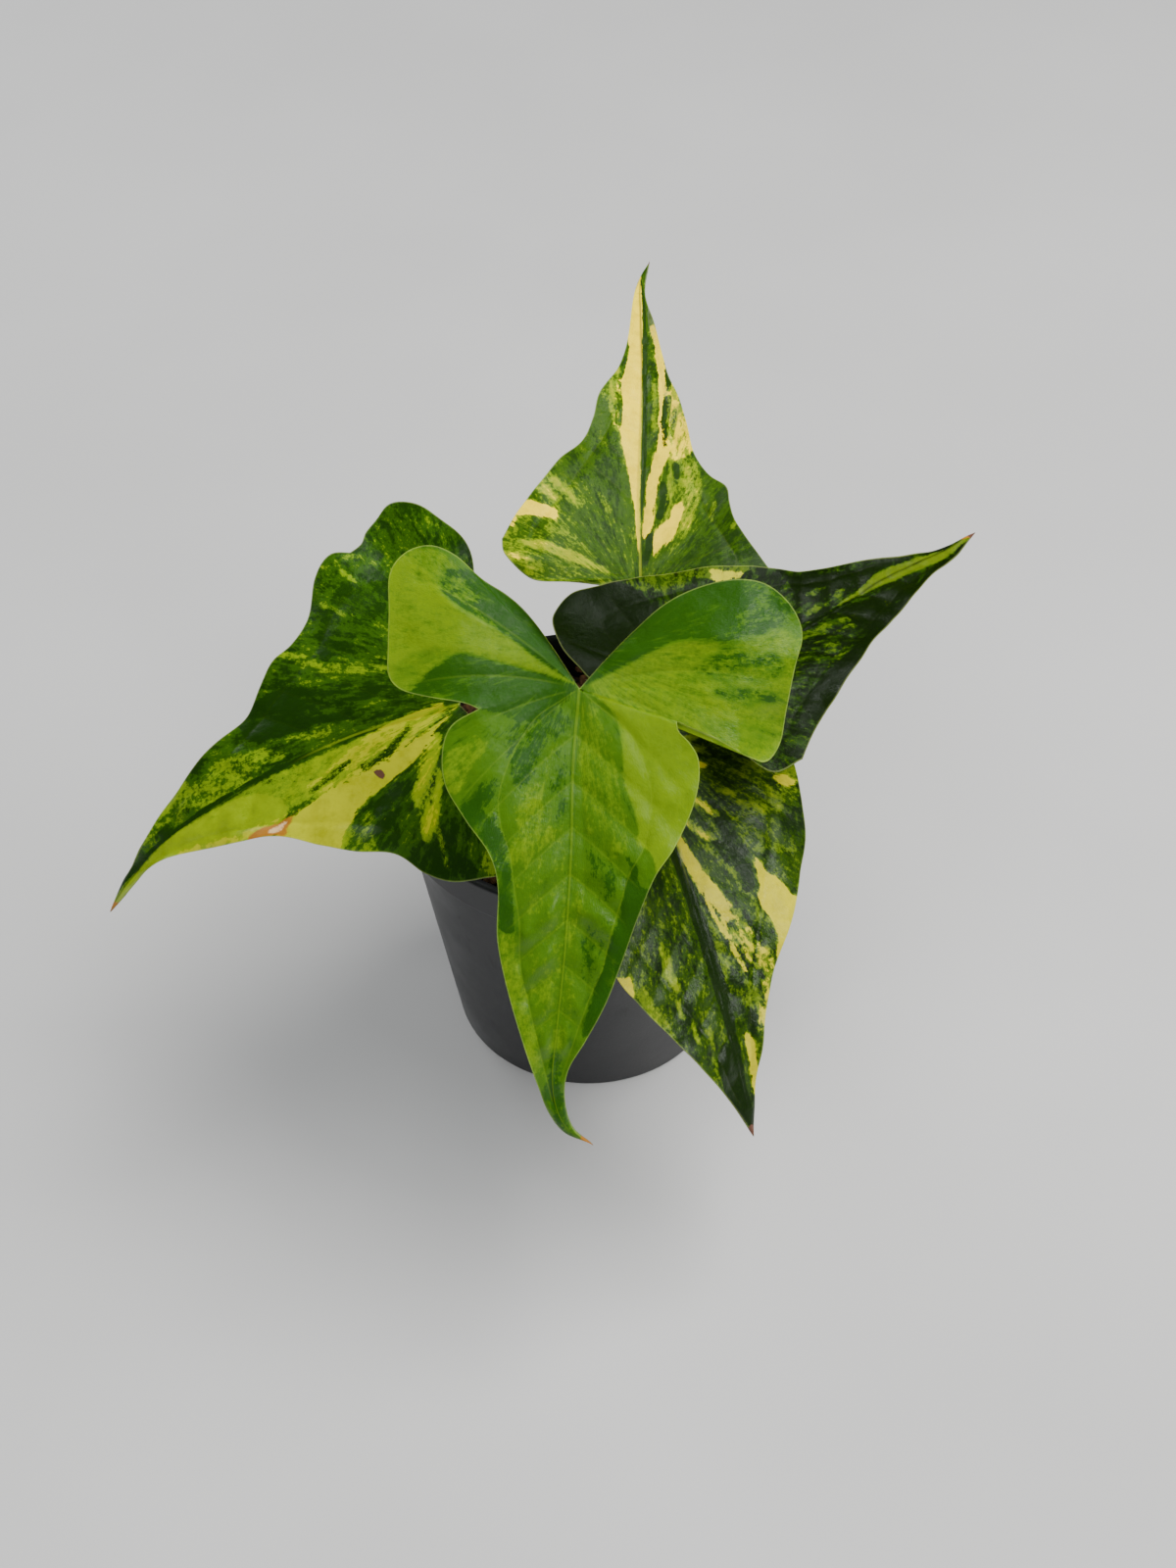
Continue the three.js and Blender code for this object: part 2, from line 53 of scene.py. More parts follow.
# Floor, in millimetres, surrounding light, and square lights: the name, the place and the side in
# metres, the power in watts, the colour, and whether glossy surfaces mirror it
FLOOR_HALF = 4000
WORLD_COLOUR = (0.92, 0.95, 1.0, 1)
WORLD_STRENGTH = 0.38
LIGHT_TARGET = (0, 0, 0.11)
LIGHTS = [
    ("key", (0.5, 0.1, 1.1), 0.8, 21, (1, 0.985, 0.96), False),
    ("sheen", (0.71, -0.48, 0.92), 0.34, 4.3, (1, 1, 1), True),
    ("back_sheen", (0.36, 0.34, 1.3), 0.34, 2.4, (1, 1, 1), True),
    ("rim", (-0.7, 0.8, 0.55), 0.5, 4, (0.96, 0.98, 1), True),
    ("front", (-0.3, -0.9, 1.0), 0.8, 9, (1, 1, 1), False),
]

# Leaf shape, in millimetres. The bends are given per BEND_SPAN along, the sag at SAG_SPAN across.
# A blade is built on rungs from its midrib to its margin, closer together at both of their ends.
BEND_SPAN = 100
BEND_STEPS = 10
SAG_SPAN = 50
LOBE_RUNGS = 14
TIP_RUNGS = 18
RUNG_SPLIT = 7
RUNG_STEPS = 48
RUNG_CLUSTER = 0.75
BLADE_THICKNESS = 0.5
MARGIN_THICKNESS = 0.3
WELD_DISTANCE = 0.01

# Veins of a blade, in millimetres and degrees. The midrib lies in a channel, with a fine ridge in
# the channel and a keel under the blade. Lateral veins fan out of the junction at BASAL_STEP, and
# leave the midrib at LATERAL_SPACING further on. The loop is the collective vein.
RIB_HALF_WIDTH = 0.45
RIB_CHANNEL = 0.55
RIB_CHANNEL_WIDTH = 1.5
RIB_RIDGE = 0.3
RIB_RIDGE_WIDTH = 0.45
RIB_KEEL = 0.75
RIB_KEEL_WIDTH = 1.1
LATERAL_ANGLE = 52
LATERAL_BEND = 0.006
LATERAL_SPACING = 11
BASAL_STEP = 27
LATERAL_DEPTH = 0.34
LATERAL_WIDTH = 1.2
LOOP_DEPTH = 0.5
LOOP_WIDTH = 1.2
LOOP_STEPS = 70
LEAST_PITCH = 0.5
VEIN_KEEL = 0.16
VEIN_KEEL_WIDTH = 0.7

# Relief of a blade, in millimetres: where the veins fade out before the margin, the swellings that
# quilt it between the veins and grow along the blade, the fine ripple along the margin, the rounding
# of the margin, and the flat spot over the end of the stalk
VEIN_FADE = 7
QUILT_CELLS = (9, 4)
QUILT_LEAST = 0.2
QUILT_GROWTH = (30, 62)
QUILT_UNEVEN = (0.8, 0.35)
RIPPLE_HEIGHT = 0.55
RIPPLE_BAND = 9
RIPPLE_CELL = 6.5
MARGIN_ROUNDING = 2.5
FLAT_SPOT = (1.5, 7)

# Variegation streaks: how far the grain's origin lies behind the junction, in millimetres, how
# many noise cells fit in a radian, and how long a cell of it and of the broad shading is
GRAIN_ORIGIN = 8
GRAIN_CELLS = 22
GRAIN_LENGTH = 6.5
SHADE_CELL = 14

# A few dark and lime marks are painted shade, as said where they stand.
# Each leaf's outline lies in its own flat plane, in millimetres from the junction with the stalk:
# the first number runs along the midrib to the tip, the second across it, to the right seen from
# above. midrib, lobe and loop start at the junction, which they leave out. lobe goes round the back
# lobe to the notch, and blade lists what lies between there and the midrib's tip. loop is the
# collective vein that runs inside the margin. Angles, folds and droops are in degrees. A hill has its
# place, length, width and height, and a crease its slope, width and line.
# A mark is listed under its kind. It has a fill (how solid its middle is, from sparse flecks at -0.3
# to solid above 1), the raggedness of its edge in millimetres, and its places: a tapering streak
# where they give (along, across, half width), a closed outline where they give (along, across).
# stalk says where the stalk leaves the crown, its first direction, and how far each end runs
# straight. palette holds linear red, green and blue: the dark green of whole tissue, the mid green
# and lime of half variegated tissue, the bright heart of a lime patch, and the cream or yellow of
# tissue with no green left. mottle holds the least level of the lime flecks and of the mid green, how
# soft the edges of the blotches are, how visible the side veins are, and how far the midrib is pale.
JUNCTION = (0, 0)
LEAVES = {}
LEAVES["front"] = {
    "junction": (-2, -41, 155), "heading": -88, "pitch": 44, "roll": 0,
    "droop": 14, "tip_droop": 6, "back_droop": -10, "waves": 5, "wave_height": 0.9, "quilt": 0.68, "seed": 3,
    "stalk": {"base": (0, -1, 88), "out": (0.1, 0.08, 1), "out_reach": 40, "top_reach": 20},
    "palette": {
        "dark": (0.012, 0.058, 0.0003), "mid": (0.046, 0.122, 0.0004), "lime": (0.098, 0.186, 0.0003),
        "bright": (0.125, 0.215, 0.0004), "cream": (0.32, 0.46, 0.03),
    },
    "mottle": {"lime": -1.05, "mid": 0.6, "soft": 0.45, "veins": 0.3, "pale_rib": 108},
    "hills": [(-14, 30, 13, 10, 2.5), (-12, -34, 12, 12, 2.5), (14, -50, 12, 10, -5),
        (24, 22, 18, 9, 2)],
    "midrib": [(18, 2), (39, 3), (62, 5), (82, 7.5), (93, 8.8), (101, 8.2), (108, 5), (113, -1)],
    "right": {
        "fold": 12, "sag": 6,
        "lobe": [(-11, 7), (-18, 12.2), (-22.5, 17), (-26.5, 23), (-32, 29), (-34.5, 35), (-33, 41),
            (-28, 45), (-19, 45.5), (-10, 46), (-4, 46), (-0.5, 43), (1.5, 36), (3, 28), (4.5, 24.5)],
        "blade": [(8, 31), (14, 33.5), (22, 33), (30, 28.5), (38, 23), (46, 21), (58, 21.5), (68, 20),
            (80, 17), (95, 12.6), (103, 10), (109, 6)],
        "loop": [(3, 5), (7, 11), (15, 16.5), (24, 20), (31, 20), (38, 18), (47, 17), (55, 16),
            (66, 16), (76, 14), (88, 11.5), (100, 9)],
    },
    "left": {
        "fold": 8, "sag": 8,
        "lobe": [(-6, -5.6), (-12, -11.8), (-19, -20), (-23, -28), (-25, -37), (-24, -45), (-19, -51),
            (-12, -54), (-4, -52), (6, -50), (14, -48.5), (18.5, -45), (17.6, -41), (14.2, -35.4),
            (11.2, -29.4), (8.4, -23)],
        "blade": [(10.8, -23.4), (13.6, -26), (17.4, -28), (23, -28), (30, -26), (38, -22), (45, -17),
            (54, -13), (65, -9), (75, -5), (84, 0), (92, 4.8), (100, 5.8), (108, 3.8)],
        "loop": [(3, -3), (10, -11), (17, -14.5), (25, -16.5), (31, -16), (38, -14.5), (44, -11),
            (53, -8), (59, -6), (67, -4), (75, -0.5), (84, 3), (94, 6.5)],
    },
    "creases": [
        ("ridge", 0.42, 6, [(-31, 38), (-21, 31), (-15, 21), (-10, 12), (0, 0)]),
        ("ridge", 0.36, 6, [(0, 0), (-7, -12), (-10, -23), (-11, -32), (-10, -41)]),
        ("groove", 0.2, 4, [(0, 0), (0, -11), (1, -23), (5, -30), (7, -37), (11, -43)]),
        ("groove", 0.2, 4, [(0, 0), (-5, 14), (-8, 26), (-9, 38)]),
    ],
    "lime": [
        (1.5, 0.5, [(1, -3), (6, -8), (12, -9.6), (22, -10), (29, -12.2), (34, -13.2), (37, -12.8),
            (40, -16.4), (45, -18), (42, -26), (30, -32), (14, -32), (8, -21), (3, -9)]),
        (0.4, 1.1, [(0, -3), (8, -20), (13, -27), (22, -42), (20, -52), (8, -55), (-3, -54), (-9, -42),
            (-9.8, -30), (-10.6, -25), (-9, -19), (-4, -9)]),
        (0.2, 1.2, [(-10, -38), (-2, -40), (2, -50), (-8, -55), (-13, -48)]),
        (0.8, 0.9, [(-1, 1), (-9, 12), (-16, 21), (-22, 30.5), (-32, 39), (-33, 49), (1, 49), (1, 42),
            (-5, 35), (-8.6, 29), (-8, 24), (-5, 14)]),
        # Painted shade: the outer wedge of the right back lobe, where the blade turns away from the light,
        # is lime held back to mid green by a low fill.
        (0.25, 0.8, [(-25, 26), (-33, 33), (-33, 41), (-28, 38), (-22, 31), (-16, 22)]),
        (0.3, 1.2, [(13, 25, 2), (17, 30, 3.4), (22, 31, 2)]),
        (0.1, 1.4, [(24, 12, 2.4), (31, 13, 3)]),
        (0.2, 1.4, [(34, 9, 2), (37, 14, 3), (39, 17, 2)]),
        (-0.1, 2.2, [(6, -2, 2), (20, -4, 4), (36, -6, 4)]),
        (-0.35, 2.4, [(46, 2, 3), (66, 8, 5), (84, 9, 3)]),
        (-0.45, 2, [(10, 5, 2), (30, 8, 5), (48, 12, 4)]),
        (0.3, 1.4, [(58, 19, 1.4), (68, 18, 2), (78, 15.4, 1.6), (92, 12, 1)]),
    ],
    "dark": [
        (1.1, 0.9, [(-1, 0.6), (-5, 8), (-9, 12.8), (-14, 19.8), (-20, 29), (-24, 33), (-29, 30),
            (-24, 15), (-11, 5), (-4, 1)]),
        # Painted shade: dark flecks over the outer wedge of the right back lobe, where the blade turns away
        # from the light.
        (-0.6, 0.8, [(-20, 29), (-27, 36), (-33, 39), (-36, 30), (-28, 26)]),
        (1, 1.2, [(-3, 5), (-6, 18), (-8.4, 27), (-7, 34), (-2, 37), (2, 32), (4, 24), (8, 12), (4, 5),
            (-0.5, 1)]),
        (0.4, 2, [(-9, 31), (-10, 38), (-6, 44), (0, 44), (2, 36)]),
        (1.1, 1, [(-1, -1), (-5, -10.6), (-8, -17), (-10.4, -23), (-11.2, -28), (-12, -34), (-20, -40),
            (-28, -36), (-24, -22), (-12, -9)]),
        (0.1, 2, [(-12, -32), (-11, -40), (-16, -52), (-26, -48), (-26, -38)]),
        (0.7, 1.8, [(-3, -28, 1.6), (-5, -36, 4.4), (-4, -46, 3.4)]),
        (0.5, 1.6, [(2, -33, 1.2), (3, -40, 2.4), (3, -46, 1.6)]),
        (0, 1.6, [(9, -30, 1), (11, -38, 2), (12, -46, 1.4)]),
        (0.9, 0.8, [(38.5, -6), (42, -11.4), (47, -9.6), (52, -9), (60, -6.4), (76, -1), (84, 1),
            (76, -6), (60, -14), (50, -16), (46, -13), (42.6, -12.6), (40, -10)]),
        (-0.15, 1.8, [(36, -4, 2), (46, -4, 3), (56, -2.6, 3), (68, 0.4, 2)]),
        (0.6, 0.9, [(28, 27, 2.4), (36, 20.4, 2.4), (46, 19.4, 2), (56, 19, 1.6)]),
        (0.1, 1.8, [(8, 6, 3), (12, 14, 4), (20, 14, 3)]),
        (0.3, 1.6, [(88, 8, 1), (98, 8.4, 2), (108, 5, 2)]),
        (0, 1.6, [(24, 22, 3), (30, 24, 3)]),
        (-0.15, 1.6, [(16, 4, 2), (24, 5.6, 2.4), (30, 5, 1)]),
    ],
    "burn": [
        (1.2, 0.6, [(110.6, 1.6, 0.7), (114, -2, 1.6)]),
    ],
}
LEAVES["left"] = {
    "junction": (-32, -22, 132), "heading": 200, "pitch": 18, "roll": -22,
    "droop": 20, "tip_droop": 16, "back_droop": 0, "waves": 7, "wave_height": 1.1, "quilt": 0.3, "seed": 8,
    "stalk": {"base": (-6, 0, 87), "out": (-0.35, -0.12, 0.93), "out_reach": 16, "top_reach": 16},
    "palette": {
        "dark": (0.007, 0.03, 0.0006), "mid": (0.024, 0.078, 0.0008), "lime": (0.14, 0.24, 0.0004),
        "bright": (0.22, 0.32, 0.0004), "cream": (0.42, 0.44, 0.0004),
    },
    "mottle": {"lime": -0.55, "mid": 0, "soft": 0.24, "veins": 0.02, "pale_rib": 38},
    "hills": [(-4, 44, 14, 12, -4), (30, -24, 16, 8, 2)],
    "midrib": [(17, 4), (38, 7), (61, 8), (87, 9), (113, 5)],
    "right": {
        "fold": 8, "sag": 8,
        "lobe": [(-6, 7), (-12, 16), (-17, 27), (-19.5, 35), (-19.5, 42), (-17, 49), (-13, 56.5),
            (-7, 60.5), (-2, 59), (2, 57), (4.5, 54), (8, 52.5)],
        "blade": [(13, 54), (19, 50), (25, 41), (31, 36), (37, 34), (43, 30), (50, 25), (60, 22.6),
            (69, 20.4), (80, 17), (88, 12.8), (97, 10), (105, 8.4)],
        "loop": [(-3, 20), (2, 40), (14, 41), (26, 32), (40, 25), (56, 19), (76, 15), (100, 9)],
    },
    "left": {
        "fold": 4, "sag": 6,
        "lobe": [(-2, -8), (-4, -18), (-5, -28), (-3, -37), (3, -43), (10, -44.5)],
        "blade": [(20, -41), (26, -35), (30, -28), (38, -23), (47, -15), (55, -8), (66, -3), (78, 2),
            (90, 5.5), (103, 5.8)],
        "loop": [(3, -22), (12, -34), (24, -26), (34, -17), (46, -9), (58, -3), (76, 4), (98, 7)],
    },
    "cream": [
        (0.85, 0.9, [(1, 0), (8, -2.4), (16, -3.6), (24, -4.6), (36, -4.4), (46, -4.6), (53, -6),
            (56, -9), (52, -13), (44, -22), (41, -18.4), (37, -14.6), (29, -10.8), (21, -9.8),
            (15, -7.8), (9, -4.4)]),
        (0.1, 1.8, [(52, -6, 2.4), (60, -5, 2.4), (70, -1.6, 1.8), (82, 3, 1)]),
        (0.1, 1.1, [(4, 2), (12, 3.2), (22, 3.8), (32, 2), (44, -1), (38, -4), (20, -3.6), (6, -0.6)]),
        (0.9, 0.5, [(4, 1.8, 0.5), (10, 2.7, 0.8), (19, 3.4, 0.6)]),
        (-0.15, 0.9, [(9, -6, 0.8), (14, -11, 1.6), (19, -17, 1.2)]),
        (0.1, 0.9, [(15, -19, 1), (20, -26, 1.4)]),
    ],
    "lime": [
        (1.3, 0.9, [(58, 7), (68, 8.4), (82, 9.4), (96, 8.2), (112, 6), (112, 3), (84, 1), (66, -6),
            (56, -6), (50, -2), (52, 3)]),
        (0.5, 1.1, [(10, 2.4), (30, 4.6), (48, 7), (60, 7.6), (58, 0), (46, -3.6), (30, -4), (14, -2.4),
            (5, -0.4)]),
        (1, 0.8, [(8, -5, 0.8), (13, -11, 1.6), (18, -16, 1.8), (20, -19, 1.2)]),
        (0.9, 0.8, [(12, -14, 0.8), (15, -19, 1.8), (19, -24, 2), (21.6, -28, 1.2)]),
        (0.3, 0.8, [(18, -27, 0.8), (20, -37, 1)]),
        (0.1, 1, [(8, -38, 2), (11, -42, 2.4)]),
        (-0.1, 1.2, [(26, -12), (38, -18), (42, -21), (34, -26), (27, -20)]),
        (0.6, 0.9, [(38, -16, 1), (43, -19, 2)]),
        (0.2, 0.8, [(10, 44, 0.5), (12, 48, 0.9)]),
        (-0.05, 0.8, [(16, 36, 0.6), (20, 42, 0.9)]),
        (0, 0.9, [(24, 24, 0.6), (30, 30, 1.2), (35, 35, 0.9)]),
        (0, 1, [(12, 17, 0.8), (20, 21.6, 1.2), (27, 26, 0.9)]),
        (-0.2, 1, [(34, 10, 0.8), (42, 13.4, 1)]),
        (0.1, 1.6, [(46, 10.6, 1), (53, 14, 2), (63, 16.8, 1.4)]),
        (0, 1.2, [(62, 14, 2), (74, 13, 2)]),
        (0.4, 1, [(73, 19, 1), (80, 17, 1.8), (86, 14, 0.8)]),
        (0, 0.8, [(7, 51, 0.7), (10, 51.6, 0.9)]),
        (-0.4, 1, [(-15, 49, 1), (-12, 56, 1)]),
        (-0.1, 1.4, [(52, 8.4), (70, 8.8), (92, 9.6), (84, 15), (66, 17), (52, 16)]),
    ],
    "dark": [
        (-0.1, 1.2, [(52, 5, 1.6), (60, 5, 2.4), (70, 6, 1.2)]),
        (0, 1.4, [(16, 13), (30, 12), (50, 18), (52, 25), (40, 26), (26, 18)]),
        (-0.1, 1.6, [(14, 30), (26, 27), (22, 38), (14, 44), (4, 46), (4, 34)]),
        (0.4, 0.5, [(40, 7.4, 0.3), (52, 8.4, 0.5), (70, 9.4, 0.6), (90, 9.4, 0.6), (104, 7.8, 0.4)]),
        (-0.1, 1.2, [(74, 11.4, 1.2), (92, 10, 1)]),
        (0.4, 0.8, [(14, 0.6, 0.8), (21, -2.6, 1.1), (28, -3, 1.2)]),
        (0.4, 0.8, [(31, 0, 0.8), (37, -1, 1.1), (43, -1.6, 0.8)]),
        (0.1, 1.2, [(22, -12, 1.2), (28, -15, 2.4), (30, -24, 3)]),
        (0, 1.4, [(14, -28, 2), (24, -32, 4), (18, -40, 4)]),
        (0.8, 0.8, [(13, -14.4, 0.6), (17, -20.4, 0.7)]),
    ],
    "brown": [
        (1.5, 0.4, [(24.2, -7.6), (24.6, -5.8), (26.6, -5.6), (26, -7.4), (25, -8.4)]),
    ],
    "burn": [
        (0.9, 0.9, [(47, -4.4), (52, -4.2), (60, -3.4), (64, -4.6), (60, -6), (56, -7.4), (53.6, -9),
            (52, -7), (50, -5.2)]),
        (1.2, 0.7, [(109.6, 5.3, 0.5), (114, 5, 1.6)]),
    ],
    "scorch": [
        (0.8, 0.6, [(51.6, -4.8), (56.4, -4.8), (57.4, -5.8), (54.4, -7.2)]),
    ],
}
LEAVES["back"] = {
    "junction": (14, 36, 124), "heading": 88, "pitch": -22, "roll": 0,
    "droop": 14, "tip_droop": 0, "back_droop": 0, "waves": 6, "wave_height": 0.9, "quilt": 0.24, "seed": 21,
    "stalk": {"base": (1, 5, 87), "out": (0.12, 0.4, 0.9), "out_reach": 16, "top_reach": 12},
    "palette": {
        "dark": (0.012, 0.036, 0.0025), "mid": (0.034, 0.086, 0.0015), "lime": (0.15, 0.235, 0.002),
        "bright": (0.3, 0.34, 0.004), "cream": (0.92, 0.69, 0.004),
    },
    "mottle": {"lime": -0.5, "mid": 0.15, "soft": 0.22, "veins": 0.03, "pale_rib": 60},
    "hills": [(0, 38, 12, 11, -5), (6, -26, 12, 10, 2)],
    "midrib": [(27, -1), (60, -1), (85, -2), (101, -2.5), (112, 0)],
    "right": {
        "fold": 14, "sag": 6,
        "lobe": [(-4, 7), (-6, 16), (-6, 26), (-4, 34), (0, 38)],
        "blade": [(9, 30), (15, 25.5), (20, 24), (26, 23), (31, 18), (38, 14), (48, 11.5), (58, 9),
            (67, 6), (84, 2), (98, -1)],
        "loop": [(0, 14), (3, 26), (10, 23), (18, 18), (28, 14), (40, 9), (54, 6), (72, 3), (92, -1)],
    },
    "left": {
        "fold": 12, "sag": 6,
        "lobe": [(-3, -7), (-3.5, -15), (-4.5, -25), (-2, -32), (3, -37), (8, -38)],
        "blade": [(17, -34), (26, -28), (35, -23), (42, -17), (49, -14.5), (57, -13), (68, -8),
            (80, -5.5), (100, -3.8)],
        "loop": [(1, -16), (5, -29), (15, -27), (27, -20), (38, -14), (50, -9), (66, -6), (90, -3.5)],
    },
    "cream": [
        (2, 0.5, [(7, -0.5), (20, -0.7), (60, -1.1), (90, -1.7), (105, -2.6), (108, -5), (90, -7),
            (76, -5.2), (69, -5.9), (62, -6.9), (56, -6.5), (50, -6.5), (44, -6.7), (36, -5),
            (28, -3.5), (20, -2.1), (12, -1.4)]),
        (1, 0.8, [(12, 0.2), (20, 0.6), (30, 1.2), (37, 2.8), (43, 3.8), (56, 3.9), (66, 3.2),
            (76, 2.2), (84, 0.8), (80, 4), (70, 6), (62, 5.6), (52, 5), (44, 6.6), (39, 7.6), (34, 5.6),
            (28, 4.2), (20, 3.2), (14, 2.8)]),
        (0.05, 0.8, [(36, 8), (44, 6), (56, 5), (66, 5), (60, 9.6), (50, 12), (39, 14.4)]),
        (1.2, 0.8, [(6, 3.4), (8.6, 5.4), (10, 8), (13, 9.6), (16, 10.6), (20.4, 11.6), (22, 10),
            (20, 8.2), (17, 7.4), (16, 5.4), (14, 4), (10, 3.2)]),
        (1.3, 0.9, [(14, -23.4), (18, -23.8), (19.2, -28), (20, -32), (18, -37), (15.8, -36),
            (15.4, -30), (14.8, -26)]),
        (-0.1, 0.7, [(21.4, -24.2, 0.6), (23.6, -27, 1.2)]),
        (0.5, 0.6, [(12.6, -35.4, 0.8), (14.6, -35, 0.8)]),
        (-0.1, 0.7, [(1, -31, 0.8), (2.2, -34.6, 1.2)]),
        (-0.4, 0.8, [(1.6, -11, 0.5), (3.4, -18, 1), (5.4, -25, 1.2), (6.8, -31, 0.7)]),
        (-0.4, 0.8, [(14, 12, 0.8), (22, 13.6, 1.4), (34, 13, 1.4)]),
        (-0.2, 0.7, [(46, -7.6, 0.7), (54, -8, 0.9), (66, -7.4, 0.5)]),
    ],
    "lime": [
        (0.6, 1, [(36, 8), (46, 6), (62, 6), (58, 9), (46, 11), (38, 12)]),
        (0.1, 1.2, [(12, 11, 1.4), (19, 12.4, 2.8), (26, 12.4, 4), (34, 12, 3)]),
        (0.2, 1, [(26, 9.4, 1.6), (36, 9, 2), (40, 12, 2)]),
        (0.3, 1, [(16, 5.6, 0.7), (20, 7, 1), (30, 7.6, 1.2)]),
        (0.6, 0.9, [(0.6, -9, 0.6), (3, -17, 1.6), (5.6, -26, 2), (7, -33, 1.2)]),
        (0.7, 0.8, [(20, -16.6, 0.7), (24.4, -22, 1.4), (27, -25, 1)]),
        (0.6, 0.8, [(21, -24, 1.2), (24.6, -28, 1.8)]),
        (0.3, 0.8, [(9, -18, 0.6), (12, -26, 1)]),
        (0.2, 1, [(0, -30, 1.6), (3, -36, 2)]),
        (-0.2, 1.2, [(-2, -8), (12, -20), (22, -16), (30, -24), (18, -38), (-4, -36)]),
        (0.2, 0.8, [(19, -9, 0.7), (24, -11.6, 0.9)]),
        (-0.2, 0.8, [(36, -9.4, 0.6), (44, -12.4, 0.8)]),
        (0.4, 0.8, [(52, -9.6, 0.6), (62, -9.4, 0.9), (68, -8, 0.6)]),
        (0.2, 0.8, [(16, 19, 0.7), (21, 20, 0.7)]),
        (0.3, 0.7, [(13, 25, 0.8), (14.6, 25.6, 0.6)]),
        (0.2, 0.9, [(44, 2.4, 0.5), (54, 2.6, 0.7), (64, 2.2, 0.5)]),
    ],
    "dark": [
        (1.2, 0.4, [(18, -0.4), (40, -0.7), (60, -0.9), (90, -1.6), (104, -2.6), (90, -0.7), (60, 0.4),
            (40, 0.7), (28, 0.4)]),
        (0.5, 0.6, [(41, 5.6, 0.8), (49, 5.8, 1.3), (57, 6.4, 1)]),
        (0.3, 0.6, [(60, 6.6, 0.5), (66, 6.2, 0.8), (70, 5.4, 0.5)]),
        (0.2, 0.6, [(44, 7.8, 0.6), (52, 8.2, 0.8)]),
        (1, 0.5, [(4, 1.2, 0.7), (8, 2, 1), (12.4, 2.2, 0.9)]),
        (0.8, 0.6, [(18, 5, 1), (22, 6, 1.5), (28.4, 5.6, 0.8)]),
        (0.4, 1, [(30, 9.4, 0.8), (34, 9, 1)]),
        (-0.3, 1.4, [(20, -3.6), (34, -6.6), (46, -9), (48, -14), (30, -14), (16, -6)]),
        (-0.3, 1.4, [(30, -15), (42, -15), (34, -22), (28, -22)]),
        (-0.1, 1.6, [(2, 12), (14, 18), (26, 22), (14, 28), (2, 38), (-4, 20)]),
    ],
    "brown": [
        (0.8, 0.6, [(111, -0.4, 0.8), (113, 0.4, 1.4)]),
    ],
}
